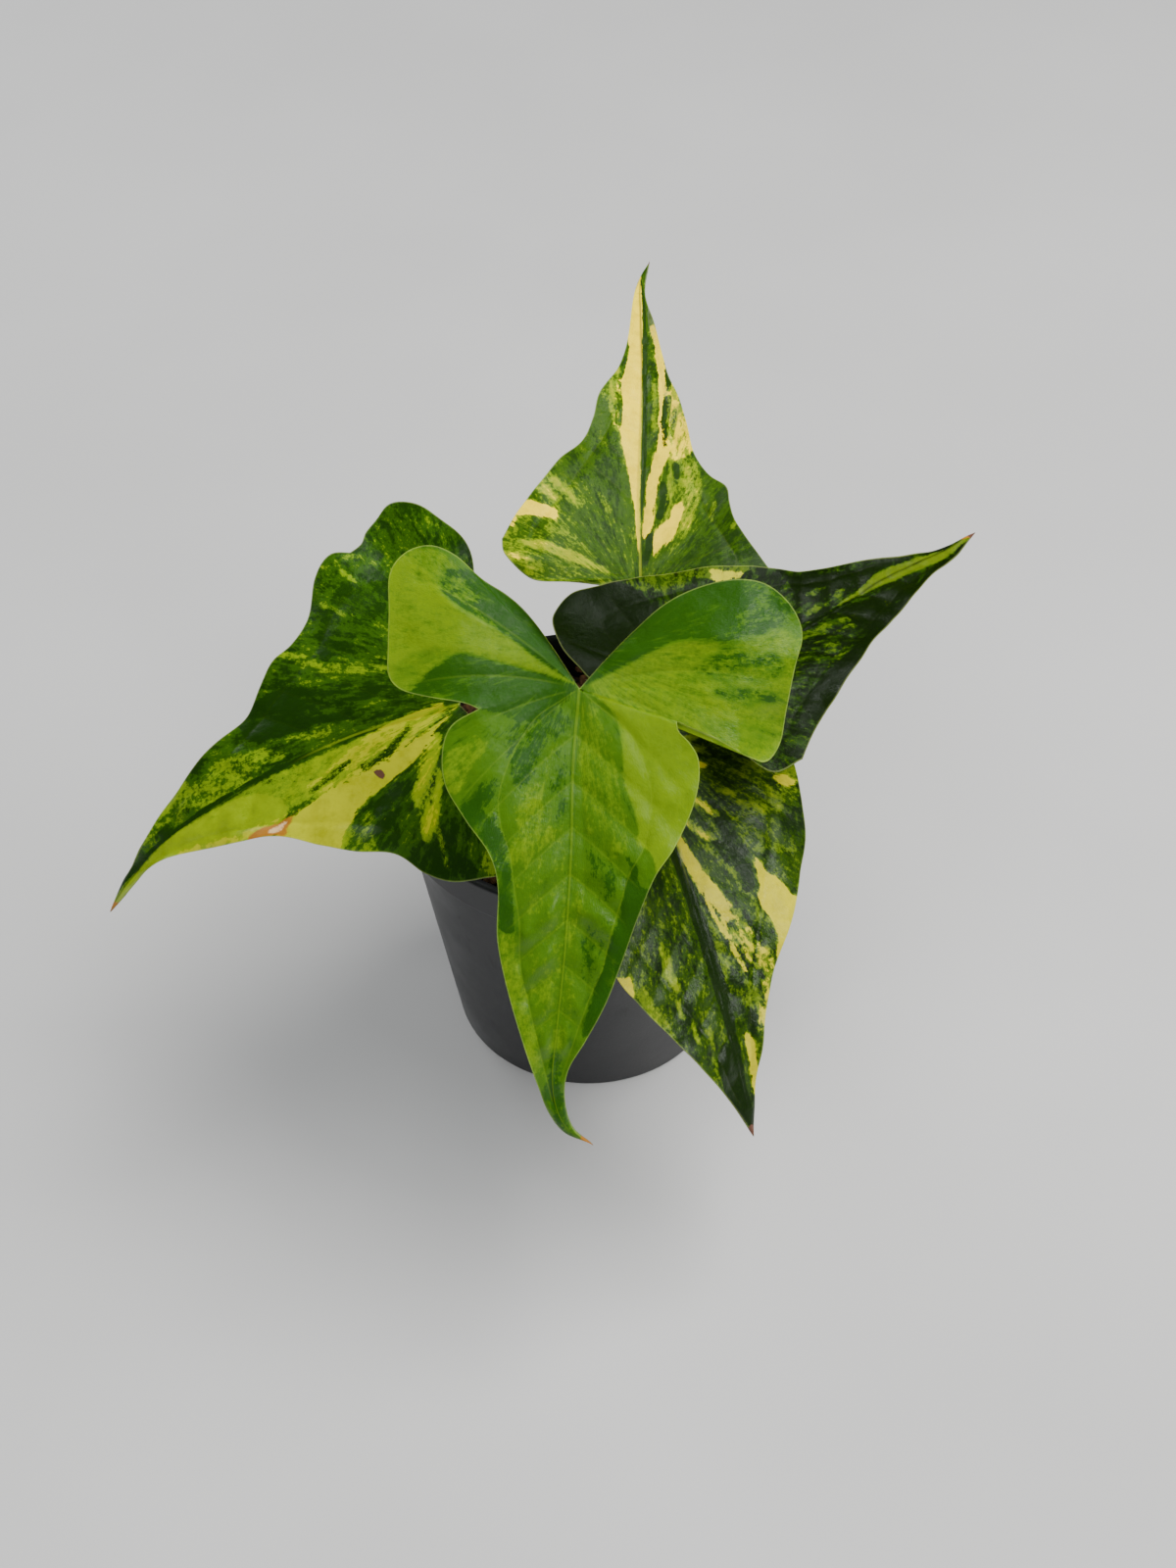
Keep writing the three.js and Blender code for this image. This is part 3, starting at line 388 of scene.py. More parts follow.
LEAVES["right"] = {
    "junction": (28, -4, 124), "heading": 37, "pitch": -3, "roll": 6,
    "droop": 12, "tip_droop": 0, "back_droop": 0, "waves": 5, "wave_height": 0.9, "quilt": 0.24, "seed": 34,
    "stalk": {"base": (6, 2, 87), "out": (0.12, 0.22, 0.96), "out_reach": 20, "top_reach": 12},
    "palette": {
        "dark": (0.0035, 0.0095, 0.0006), "mid": (0.014, 0.042, 0.0008), "lime": (0.06, 0.11, 0.001),
        "bright": (0.09, 0.14, 0.002), "cream": (0.44, 0.42, 0.008),
    },
    "mottle": {"lime": -0.6, "mid": -0.3, "soft": 0.24, "veins": 0.01, "pale_rib": 10},
    "hills": [(-8, -26, 12, 12, -2), (24, 18, 16, 8, 2)],
    "midrib": [(16, 2), (34, 2), (48, 1), (64, -1), (82, -1.5), (101, -3)],
    "right": {
        "fold": 6, "sag": 10,
        "lobe": [(-3, 7), (-5, 16), (-6, 26), (-3, 34), (5, 36)],
        "blade": [(15, 30), (28, 24), (38, 20), (48, 15), (63, 10), (75, 5.5), (90, 1)],
        "loop": [(-1, 16), (3, 28), (14, 23), (28, 17), (42, 12.5), (56, 8), (72, 3), (92, -1)],
    },
    "left": {
        "fold": 14, "sag": 8,
        "lobe": [(-12, -6), (-22, -13), (-24, -20), (-24, -27), (-21, -35), (-17, -39), (-10, -41),
            (-3, -38)],
        "blade": [(7, -34.5), (15, -32), (24, -28), (32, -22), (41, -15.5), (51, -12.4), (60, -9.6),
            (68, -6.6), (76, -4.2), (88, -3.2)],
        "loop": [(-10, -18), (-8, -30), (6, -27), (20, -22), (32, -15), (46, -9), (60, -6.5),
            (84, -3.5)],
    },
    "creases": [
        ("groove", 0.14, 5, [(0, 0), (6, 12), (11, 20), (21, 20), (29, 19), (37, 18)]),
    ],
    "cream": [
        (0.4, 0.8, [(22.6, -23), (26.6, -20.6), (30, -19.8), (30.6, -20.6), (28, -23), (24.4, -26.4),
            (23.2, -25)]),
    ],
    "lime": [
        (2, 0.5, [(47, 0.2), (58, 0.5), (66, 0.8), (76, 1), (86, 0.4), (96, -1.4), (101, -3),
            (96, -3.2), (88, -2.2), (77, -2.8), (70, -3.5), (63, -3), (55, -1.3)]),
        (0.1, 0.9, [(18, -28), (23, -24), (33, -20), (30, -25), (24, -30), (19, -31)]),
        (-0.1, 0.9, [(2, -35), (8, -28), (16, -26), (20, -30), (12, -34)]),
        (-0.2, 0.8, [(38, -1.4, 0.6), (46, -2.4, 0.9), (52, -3, 0.6)]),
        (0, 0.8, [(38, 8.2, 0.6), (45, 8.8, 0.8)]),
        (-0.1, 0.9, [(42, -6, 0.8), (50, -7, 1)]),
        (0, 0.9, [(44, 5.6, 0.8), (62, 6.8, 0.9)]),
        (0, 0.9, [(32, 3.6, 0.8), (36, 5.4, 1), (39, 4, 0.6)]),
        (-0.35, 1.2, [(22, 8), (30, 3), (38, 6), (36, 14), (30, 17.6), (22, 16)]),
        (-0.1, 1.2, [(36, 15, 1), (41, 17, 1)]),
    ],
    "dark": [
        (0.7, 1, [(20, 26, 5), (34, 21, 3.4), (60, 10.6, 2), (86, 1.8, 1)]),
        (0.4, 1, [(48, 3), (64, 3.4), (74, 3.6), (62, 8), (48, 12)]),
        (0.5, 1, [(42, -10, 2.6), (58, -6, 1.4), (70, -4.6, 0.6)]),
        # Painted shadow: the left back lobe is drawn dark where the back leaf above shades it.
        (0.7, 1.4, [(0, -6), (4, -30), (-8, -42), (-26, -34), (-24, -14), (-8, -4)]),
    ],
    "brown": [
        (1.2, 0.6, [(98.4, -2.8, 0.8), (102, -3, 2)]),
    ],
    "burn": [
        (0.6, 0.6, [(95, -3, 0.6), (101, -3, 1.4)]),
    ],
}
LEAVES["lower"] = {
    "junction": (10, -18, 113), "heading": -62, "pitch": 22, "roll": -6,
    "droop": 34, "tip_droop": 0, "back_droop": 0, "waves": 6, "wave_height": 0.9, "quilt": 0.26, "seed": 55,
    "stalk": {"base": (4, -5, 87), "out": (0.2, -0.35, 0.9), "out_reach": 9, "top_reach": 8},
    "palette": {
        "dark": (0.005, 0.015, 0.001), "mid": (0.018, 0.048, 0.0008), "lime": (0.09, 0.15, 0.0014),
        "bright": (0.19, 0.25, 0.004), "cream": (0.48, 0.43, 0.006),
    },
    "mottle": {"lime": -0.42, "mid": -0.1, "soft": 0.22, "veins": 0.02, "pale_rib": 34},
    "hills": [(30, -24, 16, 10, 1.5), (34, 18, 18, 9, 2)],
    "midrib": [(14, -1), (28, -1), (46, 1), (66, 2), (87, 3), (105, 3)],
    "right": {
        "fold": 10, "sag": 8,
        "lobe": [(-10, 3.4), (-20, 7.2), (-29, 11), (-34, 14), (-34, 19), (-28, 23.5), (-18, 27),
            (-8, 29), (4, 32)],
        "blade": [(16, 35), (28, 35), (40, 33), (55, 29.5), (62, 26), (72, 20), (82, 14.5), (94, 7.5)],
        "loop": [(-16, 13), (-8, 22), (12, 25), (28, 26), (44, 23), (60, 17), (76, 10), (96, 5)],
    },
    "left": {
        "fold": 8, "sag": 8,
        "lobe": [(-3, -8), (-5, -18), (-6, -29), (-3, -38), (3, -43), (10, -44)],
        "blade": [(19, -42), (29, -38.5), (39, -35), (52, -26), (62, -17.5), (73, -10), (87, -3),
            (98, 0.5)],
        "loop": [(0, -20), (6, -34), (18, -33), (32, -27), (46, -19), (60, -11), (76, -4), (96, 1)],
    },
    "cream": [
        (0.7, 0.7, [(20, -1.4), (27, -0.9), (34, -0.9), (40, -2), (46, -4), (51, -6), (48, -7.6),
            (41, -6.2), (36, -4.6), (31, -3.5), (26, -2.9)]),
        (-0.15, 0.8, [(44, -3), (50, -4), (57, -6), (63, -9), (67, -13), (64, -15), (57, -12.6),
            (51, -10.6), (46, -8), (42, -6)]),
        (0.2, 0.6, [(36, -1.6, 0.4), (44, -2.6, 0.6), (54, -4.4, 0.7), (64, -6.6, 0.5)]),
        (1.3, 0.7, [(37.6, -19), (42, -18.2), (45, -17.8), (48.2, -16), (54, -17.4), (59, -17.6),
            (63, -16), (64, -18), (58, -24), (53, -28), (49.6, -25.4), (45.6, -23.8), (42.4, -21.4)]),
        (1.5, 0.9, [(55, 33), (55, 26.8), (57, 25.8), (60, 26.8), (62, 29)]),
        (0.5, 0.7, [(79, -1.2), (86, -0.8), (95, -0.2), (92, -1.6), (85, -2.6), (80, -3)]),
        (0, 0.9, [(66, -12, 0.8), (74, -8.4, 1.1), (79, -6, 0.6)]),
        (0.5, 0.9, [(19.6, -34), (22.6, -34.2), (24, -37.6), (23, -39.6), (20.8, -38), (20, -36)]),
        (0.9, 0.5, [(12.6, -38, 0.7), (13, -40.4, 0.8)]),
        (0.8, 0.6, [(10.4, -43, 1), (12, -41.6, 0.8)]),
        (0.8, 0.5, [(10, -14, 0.7), (11.4, -17, 0.8)]),
        (0.7, 0.5, [(19, -10.6, 0.5), (23.6, -13.4, 0.9)]),
        (0.2, 0.6, [(24, -6, 0.5), (29, -9, 0.7)]),
    ],
    "lime": [
        (0.8, 0.7, [(18, -10, 0.8), (24.4, -14, 1.3)]),
        (0.5, 0.8, [(22, -5, 0.8), (28, -8.6, 1.4), (30, -11, 0.8)]),
        (0.6, 0.8, [(4, -13, 1), (3, -18, 1.3), (2, -22, 1)]),
        (0.5, 0.8, [(7, -14, 0.8), (6.6, -19, 1)]),
        (0.8, 0.7, [(19, -17.6, 0.8), (21, -20.6, 1.1)]),
        (0.6, 0.8, [(23.6, -21, 0.9), (27.4, -26.4, 1.4)]),
        (0.5, 0.8, [(14.6, -23, 0.7), (17, -26.4, 1)]),
        (0.3, 0.8, [(22, -31, 0.7), (28, -31.4, 1)]),
        (0.3, 0.8, [(14, -30, 0.9), (17, -34, 1.4), (14, -38, 1)]),
        (0.3, 0.9, [(8, -39), (18, -34), (22, -41), (10, -46)]),
        (0, 0.9, [(36, -21, 0.7), (39, -31, 0.9)]),
        (0.1, 0.9, [(30, -7, 0.8), (40, -12.6, 1.2), (52, -15, 1)]),
        (0, 0.9, [(48, -1.6), (60, -4), (70, -8), (76, -7), (70, -2), (60, 0)]),
        (0.7, 0.8, [(54, 13.6, 0.9), (58, 15.6, 1.4), (62, 14, 1)]),
        (0.6, 0.8, [(50.6, 15, 0.7), (56, 15.2, 0.9)]),
        (0.7, 0.7, [(65.4, 15, 0.8), (69, 14.8, 0.8)]),
        (0.7, 0.7, [(72, 12.6, 0.7), (76, 12.8, 0.8)]),
        (0.3, 0.8, [(74.6, 8.6, 0.7), (80, 9, 0.8)]),
        (0.2, 1, [(58, 25, 1.4), (66, 22.4, 1.6), (74, 19, 1)]),
        (0, 0.8, [(80, 10.6, 0.7), (88, 8.6, 0.8), (94, 6, 0.5)]),
        (-0.2, 1.4, [(4, -8), (20, -9), (34, -16), (38, -30), (20, -40), (2, -36)]),
        (-0.4, 1.2, [(34, 4), (60, 6), (84, 6), (70, 18), (54, 28), (38, 18)]),
    ],
    "dark": [
        (0.9, 0.8, [(24, -0.4), (40, -0.6), (60, -0.4), (80, 1), (100, 2.4), (100, 3.6), (80, 3.6),
            (60, 3.6), (40, 2.8), (24, 1.2)]),
        (0.1, 1.2, [(22, -14, 1.4), (36, -15.6, 2.4), (44, -14.6, 1.6)]),
        (-0.4, 1.4, [(26, -20), (40, -23), (48, -27), (40, -34), (28, -36), (24, -28)]),
        (0.4, 1, [(80, 4), (100, 3), (92, 8), (84, 9)]),
    ],
    "brown": [
        (1.2, 0.6, [(102.6, 3, 1), (106, 3.2, 2)]),
    ],
}
MARK_KINDS = ("cream", "lime", "dark", "brown", "burn", "scorch")

# The least depth inside a mark, in units of its raggedness, and the greatest distance from the
# midrib, in units of its half width, that a blade stores
FIELD_LIMIT = 2.5
RIB_LIMIT = 40

# Leaf tints that all leaves share, as linear colours, and how the grain is stretched for the second
# and third layer of streaks
MARGIN_TINT = (0.42, 0.5, 0.12)
UNDERSIDE_TINT = (0.10, 0.19, 0.04)
UNDERSIDE_VEIN_TINT = (0.18, 0.28, 0.07)
BURN_TINT = (0.32, 0.13, 0.01)
SCORCH_TINT = (0.62, 0.42, 0.2)
BROWN_TINT = (0.11, 0.05, 0.03)
SECOND_LAYER = (1, 1, 2.7)
THIRD_LAYER = (1, 1, 5.3)

# Sockets of a mix node that mixes colours
MIX_FIRST = 6
MIX_SECOND = 7
MIX_RESULT = 2

# Leaf stalks, in millimetres
STALK_BASE_RADIUS = 2.1
STALK_SHEATH = 10
STALK_RADIUS = 1.5
STALK_KNEE_RADIUS = 2.1
STALK_KNEE = 6
STALK_GROOVE = 0.22
STALK_GROOVE_WIDTH = 0.16
STALK_UNEVEN = 0.05
STALK_SIDES = 28
STALK_STEPS = 90
STALK_SINK = 3
SEAT_BELOW_TOP = 0.4

# Roots: direction in degrees, reach from the axis and height of the arch
ROOTS = [(35, 27, 4), (108, 24, 3), (175, 29, 4.5), (248, 26, 3.5), (300, 30, 4)]
ROOT_RADIUS = 1.7
ROOT_TAPER = 0.3
ROOT_START = 4
ROOT_LIFT = 3
ROOT_DIVE = 14
ROOT_SWAY = 0.14
ROOT_STEPS = 40
ROOT_SIDES = 16
ROOT_UNEVEN = 0.05

# Crown, in millimetres: its waist and swelling as parts of its radius, and the rings of old scars
CROWN_TOP = 93
CROWN_FOOT = 68
CROWN_RADIUS = 9.5
CROWN_WAIST = 0.62
CROWN_SWELL = 0.34
CROWN_SCARS = 5
CROWN_SCAR_HEIGHT = 0.45
CROWN_RINGS = 60
CROWN_SIDES = 64
CROWN_VOXEL = 0.42
CROWN_BUMPS = 0.3
CROWN_GRAIN = 0.12

# Pot, in millimetres
POT_HEIGHT = 90
POT_BASE_RADIUS = 37
POT_TOP_RADIUS = 49.5
POT_WALL = 1.5
POT_FLOOR = 2.5
POT_RIM_RADIUS = 52.5
POT_RIM_HEIGHT = 11
POT_RIM_WALL = 2.6
POT_RIM_DRAFT = 0.3
POT_RIM_LIFT = 0.4
POT_RIM_STEP = 0.8
POT_ROUNDING = 1.1
POT_SIDES = 160
DRAIN_COUNT = 8
DRAIN_RADIUS = 4
DRAIN_CIRCLE = 27
DRAIN_SIDES = 32

# Potting mix, in millimetres
MIX_TOP = 81
MIX_GAP = 0.3
MIX_SHOULDER = 4
MIX_EDGE_DROP = 3
MIX_HEAPS = 0.9
MIX_CLODS = 0.5
MIX_SIDES = 120
MIX_SEED = 11
CHIP_CUTS = 3
CHIP_SKEW = 0.16
CHIP_ROUNDING = 0.12

# Chips on the mix: how many, their kind (1 bark, 2 pumice), the least and greatest size, how flat and
# how jagged they are, how far they tilt, how high they lie, and the least distance from the axis
CHIPS = [
    (430, 1.0, (4.5, 9), 0.34, 0.018, 0.28, (-0.6, 2.4), 11),
    (95, 2.0, (2.4, 4.2), 0.75, 0.03, 0.8, (0.6, 2.6), 11),
    (420, 1.0, (1.4, 3), 0.5, 0.03, 0.6, (0.2, 2.6), 10),
]


def smooth_step(low, high, value):
    part = np.clip((value - low) / (high - low), 0, 1)
    return part * part * (3 - 2 * part)


def unit(vector):
    return vector / np.linalg.norm(vector)


def unit_rows(rows):
    return rows / np.maximum(np.linalg.norm(rows, axis=1, keepdims=True), 1e-9)


def lattice_noise(points, cell, seed):
    """Smooth repeatable noise from -1 to 1 at an array of points, with the given cell size."""
    size = 24
    values = np.random.default_rng(seed).uniform(-1, 1, (size, size, size))
    scaled = np.asarray(points, float) / cell
    low = np.floor(scaled).astype(int)
    part = scaled - low
    part = part * part * (3 - 2 * part)
    total = np.zeros(len(scaled))
    for corner in range(8):
        step = np.array([(corner >> axis) & 1 for axis in range(3)])
        index = (low + step) % size
        weight = np.prod(np.where(step == 1, part, 1 - part), axis=1)
        total += weight * values[index[:, 0], index[:, 1], index[:, 2]]
    return total


def spline(points, count=1600):
    """Points along a uniform Catmull-Rom curve."""
    knots = np.array(points, float)
    last = len(knots) - 1
    place = np.linspace(0, last, count)
    index = np.minimum(place.astype(int), last - 1)
    t = (place - index)[:, None]
    before = knots[np.maximum(index - 1, 0)]
    start = knots[index]
    end = knots[index + 1]
    after = knots[np.minimum(index + 2, last)]
    leave = (end - before) / 2
    arrive = (after - start) / 2
    cubic = (2 * start - 2 * end + leave + arrive) * t ** 3
    square = (-3 * start + 3 * end - 2 * leave - arrive) * t ** 2
    return cubic + square + leave * t + start


def even_points(curve, count):
    """count + 1 points at equal distances along a fine polyline."""
    steps = np.linalg.norm(np.diff(curve, axis=0), axis=1)
    length = np.concatenate([[0], np.cumsum(steps)])
    wanted = np.linspace(0, length[-1], count + 1)
    return np.stack([np.interp(wanted, length, curve[:, axis]) for axis in range(curve.shape[1])], -1)


def signed_distance(points, line):
    """Distance from each flat point to a polyline, positive on its left side, and the place of the
    nearest point along the line from 0 to 1."""
    starts = line[:-1]
    steps = line[1:] - starts
    lengths = np.maximum(np.sum(steps * steps, axis=1), 1e-9)
    best = np.full(len(points), np.inf)
    sign = np.ones(len(points))
    place = np.zeros(len(points))
    for k, (start, step, square) in enumerate(zip(starts, steps, lengths)):
        offset = points - start
        t = np.clip(offset @ step / square, 0, 1)
        gap = offset - t[:, None] * step
        distance = np.sum(gap * gap, axis=1)
        nearer = distance < best
        best = np.where(nearer, distance, best)
        side = np.sign(step[0] * offset[:, 1] - step[1] * offset[:, 0])
        sign = np.where(nearer, side, sign)
        place = np.where(nearer, (k + t) / len(starts), place)
    return np.sqrt(best) * np.where(sign == 0, 1, sign), place


def streak_depth(points, places):
    """How far inside a tapering streak each point lies, negative outside, in millimetres."""
    best = np.full(len(points), -99.0)
    for first, second in zip(places[:-1], places[1:]):
        start = np.array(first[:2], float)
        step = np.array(second[:2], float) - start
        square = max(step @ step, 1e-9)
        t = np.clip((points - start) @ step / square, 0, 1)
        gap = np.linalg.norm(points - start - t[:, None] * step, axis=1)
        best = np.maximum(best, first[2] + (second[2] - first[2]) * t - gap)
    return best


def area_depth(points, places):
    """How far inside a closed smooth outline each point lies, negative outside, in millimetres."""
    knots = np.array(places, float)
    wrapped = np.vstack([knots[-1:], knots, knots[:2]])
    line = spline(wrapped, 6 * (len(wrapped) - 1) + 1)[6:-6]
    distance, _ = signed_distance(points, line)
    inside = np.zeros(len(points), bool)
    for start, end in zip(line[:-1], line[1:]):
        spans = (start[1] > points[:, 1]) != (end[1] > points[:, 1])
        rise = end[1] - start[1]
        if rise == 0:
            continue
        crossing = start[0] + (points[:, 1] - start[1]) / rise * (end[0] - start[0])
        inside ^= spans & (points[:, 0] < crossing)
    return np.where(inside, np.abs(distance), -np.abs(distance))


def leaf_frame(leaf):
    """Junction, forward, right and upward directions of a leaf at its junction."""
    heading = math.radians(leaf["heading"])
    pitch = math.radians(leaf["pitch"])
    forward = np.array([
        math.cos(heading) * math.cos(pitch),
        math.sin(heading) * math.cos(pitch),
        -math.sin(pitch),
    ])
    right = unit(np.cross(forward, (0, 0, 1)))
    normal = np.cross(right, forward)
    roll = math.radians(leaf["roll"])
    rolled = right * math.cos(roll) + np.cross(forward, right) * math.sin(roll)
    raised = normal * math.cos(roll) + np.cross(forward, normal) * math.sin(roll)
    return np.array(leaf["junction"], float), forward, rolled, raised


def bend_angle(leaf, along):
    """How far the blade has turned down at a place along it, in radians."""
    part = along / BEND_SPAN
    ahead = leaf["droop"] * part + leaf["tip_droop"] * part ** 3
    return np.radians(np.where(along > 0, ahead, leaf["back_droop"] * part))


def leaf_surface(leaf, along, across, edge, turn, relief):
    """The points and upward normals of the bent leaf at places in its flat outline."""
    junction, forward, right, normal = leaf_frame(leaf)
    reach = np.zeros_like(along)
    drop = np.zeros_like(along)
    for i in range(BEND_STEPS):
        angle = bend_angle(leaf, (i + 0.5) / BEND_STEPS * along)
        reach += np.cos(angle) * along / BEND_STEPS
        drop += np.sin(angle) * along / BEND_STEPS
    angle = bend_angle(leaf, along)
    fold = np.radians(np.where(across < 0, leaf["left"]["fold"], leaf["right"]["fold"]))
    sag = np.where(across < 0, leaf["left"]["sag"], leaf["right"]["sag"])
    lift = np.abs(across) * np.sin(fold) - sag * (across / SAG_SPAN) ** 2
    for hill_along, hill_across, long_radius, wide_radius, height in leaf["hills"]:
        a = (along - hill_along) / long_radius
        b = (across - hill_across) / wide_radius
        lift = lift + height * np.exp(-a * a - b * b)
    lift = lift + leaf["wave_height"] * edge ** 3 * np.sin(2 * np.pi * leaf["waves"] * turn)
    lift = lift + relief
    up = np.sin(angle)[:, None] * forward + np.cos(angle)[:, None] * normal
    points = junction + reach[:, None] * forward - drop[:, None] * normal
    points = points + (across * np.cos(fold))[:, None] * right + lift[:, None] * up
    return points, up


def rung_steps():
    """Places across a rung from 0 at the midrib to 1 at the margin, closer together at both ends."""
    even = np.linspace(0, 1, RUNG_STEPS + 1)
    eased = (1 - np.cos(np.pi * even)) / 2
    return (1 - RUNG_CLUSTER) * even + RUNG_CLUSTER * eased


def half_blade(leaf, side):
    """Flat places and vein measures of one half of a blade, one row for each vertex."""
    half = leaf[side]
    notch = half["lobe"][-1]
    tip = leaf["midrib"][-1]
    lobe = even_points(spline([JUNCTION, *half["lobe"]]), LOBE_RUNGS * RUNG_SPLIT)
    blade = even_points(spline([notch, *half["blade"], tip]), TIP_RUNGS * RUNG_SPLIT)
    rib_line = spline([JUNCTION, *leaf["midrib"]])
    rib = even_points(rib_line, TIP_RUNGS * RUNG_SPLIT)
    inner = np.vstack([np.repeat(rib[:1], len(lobe), 0), rib[1:]])
    outer = np.vstack([lobe, blade[1:]])
    steps = rung_steps()
    flat = inner[:, None] + (outer - inner)[:, None] * steps[None, :, None]
    flat = flat.reshape(-1, 2)
    along, across = flat[:, 0], flat[:, 1]
    margin, _ = signed_distance(flat, np.vstack([lobe[::2], blade[2::2]]))
    rib_distance, rib_place = signed_distance(flat, rib[::2])
    loop, _ = signed_distance(flat, even_points(spline([JUNCTION, *half["loop"]]), LOOP_STEPS))

    across_rib = np.abs(across - np.interp(along, rib_line[:, 0], rib_line[:, 1]))
    origin = along - LATERAL_BEND * across_rib ** 2
    slope = math.radians(LATERAL_ANGLE)
    lateral = origin - across_rib / math.tan(slope)
    angle = np.arctan2(across_rib, origin)
    step = math.radians(BASAL_STEP)
    basal = lateral < 0
    phase = np.where(basal, (slope - angle) / step, lateral / LATERAL_SPACING)
    pitch = np.where(basal, np.hypot(across_rib, origin) * step, LATERAL_SPACING * math.sin(slope))
    return {
        "flat": flat, "rungs": len(inner), "edge": np.tile(steps, len(inner)),
        "turn": np.repeat(np.linspace(0, 1, len(inner)), len(steps)),
        "margin": np.abs(margin), "rib": np.abs(rib_distance), "rib_place": rib_place,
        "loop": loop * (1 if side == "right" else -1),
        "phase": phase, "pitch": np.maximum(pitch, LEAST_PITCH),
    }


def ridge(distance, width):
    """The height, up to 1, of a smooth ridge at a distance from its line."""
    return np.exp(-(distance / width) ** 2)


def lateral_distance(half):
    """Distance from each place to the nearest lateral vein."""
    return np.abs((half["phase"] + 0.5) % 1 - 0.5) * half["pitch"]


def vein_relief(leaf, half):
    """Grooves, swellings between the veins, creases and a fine margin ripple, in millimetres."""
    flat, margin, rib = half["flat"], half["margin"], half["rib"]
    inside = smooth_step(0, VEIN_FADE, margin)
    open_blade = smooth_step(1.5, 6, rib + half["edge"] * 8)
    taper = 1 - 0.75 * half["rib_place"]
    relief = -RIB_CHANNEL * taper * np.exp(-rib / RIB_CHANNEL_WIDTH)
    relief += RIB_RIDGE * taper * ridge(rib, RIB_RIDGE_WIDTH)
    spread = smooth_step(2, 7, half["pitch"])
    relief -= LATERAL_DEPTH * inside * spread * np.exp(-lateral_distance(half) / LATERAL_WIDTH)
    relief -= LOOP_DEPTH * smooth_step(0, 3, margin) * np.exp(-np.abs(half["loop"]) / LOOP_WIDTH)
    swell = np.sin(np.pi * half["phase"]) ** 2 * spread * inside * open_blade
    points = np.column_stack([flat, np.zeros(len(flat))])
    coarse, fine = (lattice_noise(points, cell, leaf["seed"] + k) for k, cell in enumerate(QUILT_CELLS))
    uneven = coarse + 0.5 * fine
    growth = QUILT_LEAST + (1 - QUILT_LEAST) * smooth_step(*QUILT_GROWTH, flat[:, 0])
    quilt = leaf["quilt"] * growth
    relief += quilt * swell * (1 + QUILT_UNEVEN[0] * uneven)
    relief += QUILT_UNEVEN[1] * quilt * uneven * inside
    ripple = lattice_noise(points, RIPPLE_CELL, leaf["seed"] + 2)
    band = 1 - smooth_step(0, RIPPLE_BAND, margin)
    relief += RIPPLE_HEIGHT * band * ripple * smooth_step(0, 0.1, half["turn"])
    for kind, slope, width, places in leaf.get("creases", []):
        distance, place = signed_distance(flat, even_points(spline(places), 40))
        gap = np.abs(distance)
        fade = smooth_step(0, 0.25, place) * (0.35 + 0.65 * smooth_step(1, 0.85, place))
        tent = -slope * gap * np.exp(-gap / width) * fade
        relief += tent if kind == "ridge" else -tent
    return relief * smooth_step(*FLAT_SPOT, np.linalg.norm(flat, axis=1))


def mark_fields(leaf, flat):
    """For each kind of mark, how deep each place lies inside it, in units of its raggedness."""
    fields = []
    for kind in MARK_KINDS:
        field = np.full(len(flat), -FIELD_LIMIT)
        for fill, ragged, places in leaf.get(kind, []):
            depth = streak_depth(flat, places) if len(places[0]) == 3 else area_depth(flat, places)
            field = np.maximum(field, np.minimum(depth / ragged, fill))
        fields.append(field)
    return fields


def set_vectors(mesh, name, columns):
    attribute = mesh.attributes.new(name, "FLOAT_VECTOR", "POINT")
    values = np.column_stack(columns).astype(np.float32)
    attribute.data.foreach_set("vector", values.ravel())


def new_mesh(name, points, faces):
    """A smooth shaded mesh from points in millimetres."""
    mesh = bpy.data.meshes.new(name)
    mesh.from_pydata((np.asarray(points) * MM).tolist(), [], faces)
    mesh.polygons.foreach_set("use_smooth", [True] * len(mesh.polygons))
    mesh.update()
    return mesh


def new_object(name, data):
    thing = bpy.data.objects.new(name, data)
    bpy.context.scene.collection.objects.link(thing)
    return thing


def new_piece(name, mesh, node):
    piece = new_object(name, mesh)
    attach(piece, BODY)
    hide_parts(node)
    return piece


def weld(mesh):
    """Joins the vertices that lie on each other and drops the faces that collapse."""
    shape = bmesh.new()
    shape.from_mesh(mesh)
    bmesh.ops.remove_doubles(shape, verts=shape.verts, dist=WELD_DISTANCE * MM)
    bmesh.ops.dissolve_degenerate(shape, edges=shape.edges, dist=WELD_DISTANCE * MM / 4)
    shape.to_mesh(mesh)
    shape.free()


def ring_faces(rings, sides, start):
    """Quads between closed rings of vertices stored one after the other from start."""
    faces = []
    for i in range(rings - 1):
        for k in range(sides):
            a = start + i * sides + k
            b = start + i * sides + (k + 1) % sides
            faces.append((a, b, b + sides, a + sides))
    return faces


def grid_faces(rows, columns, start, flip):
    """Quads of a grid of vertices stored row by row from start."""
    row, column = np.meshgrid(np.arange(rows - 1), np.arange(columns - 1), indexing="ij")
    corner = (start + row * columns + column).ravel()
    quads = np.stack([corner, corner + 1, corner + columns + 1, corner + columns], -1)
    return quads[:, ::-1] if flip else quads


def blade_depth(half):
    """How thick the blade is below each place, with keels under its veins, in millimetres."""
    rounding = smooth_step(0, MARGIN_ROUNDING, half["margin"])
    depth = MARGIN_THICKNESS + (BLADE_THICKNESS - MARGIN_THICKNESS) * rounding
    taper = 1 - 0.85 * half["rib_place"]
    depth += RIB_KEEL * taper * ridge(half["rib"], RIB_KEEL_WIDTH)
    depth += VEIN_KEEL * rounding * ridge(lateral_distance(half), VEIN_KEEL_WIDTH)
    depth += VEIN_KEEL * rounding * ridge(half["loop"], VEIN_KEEL_WIDTH)
    return depth


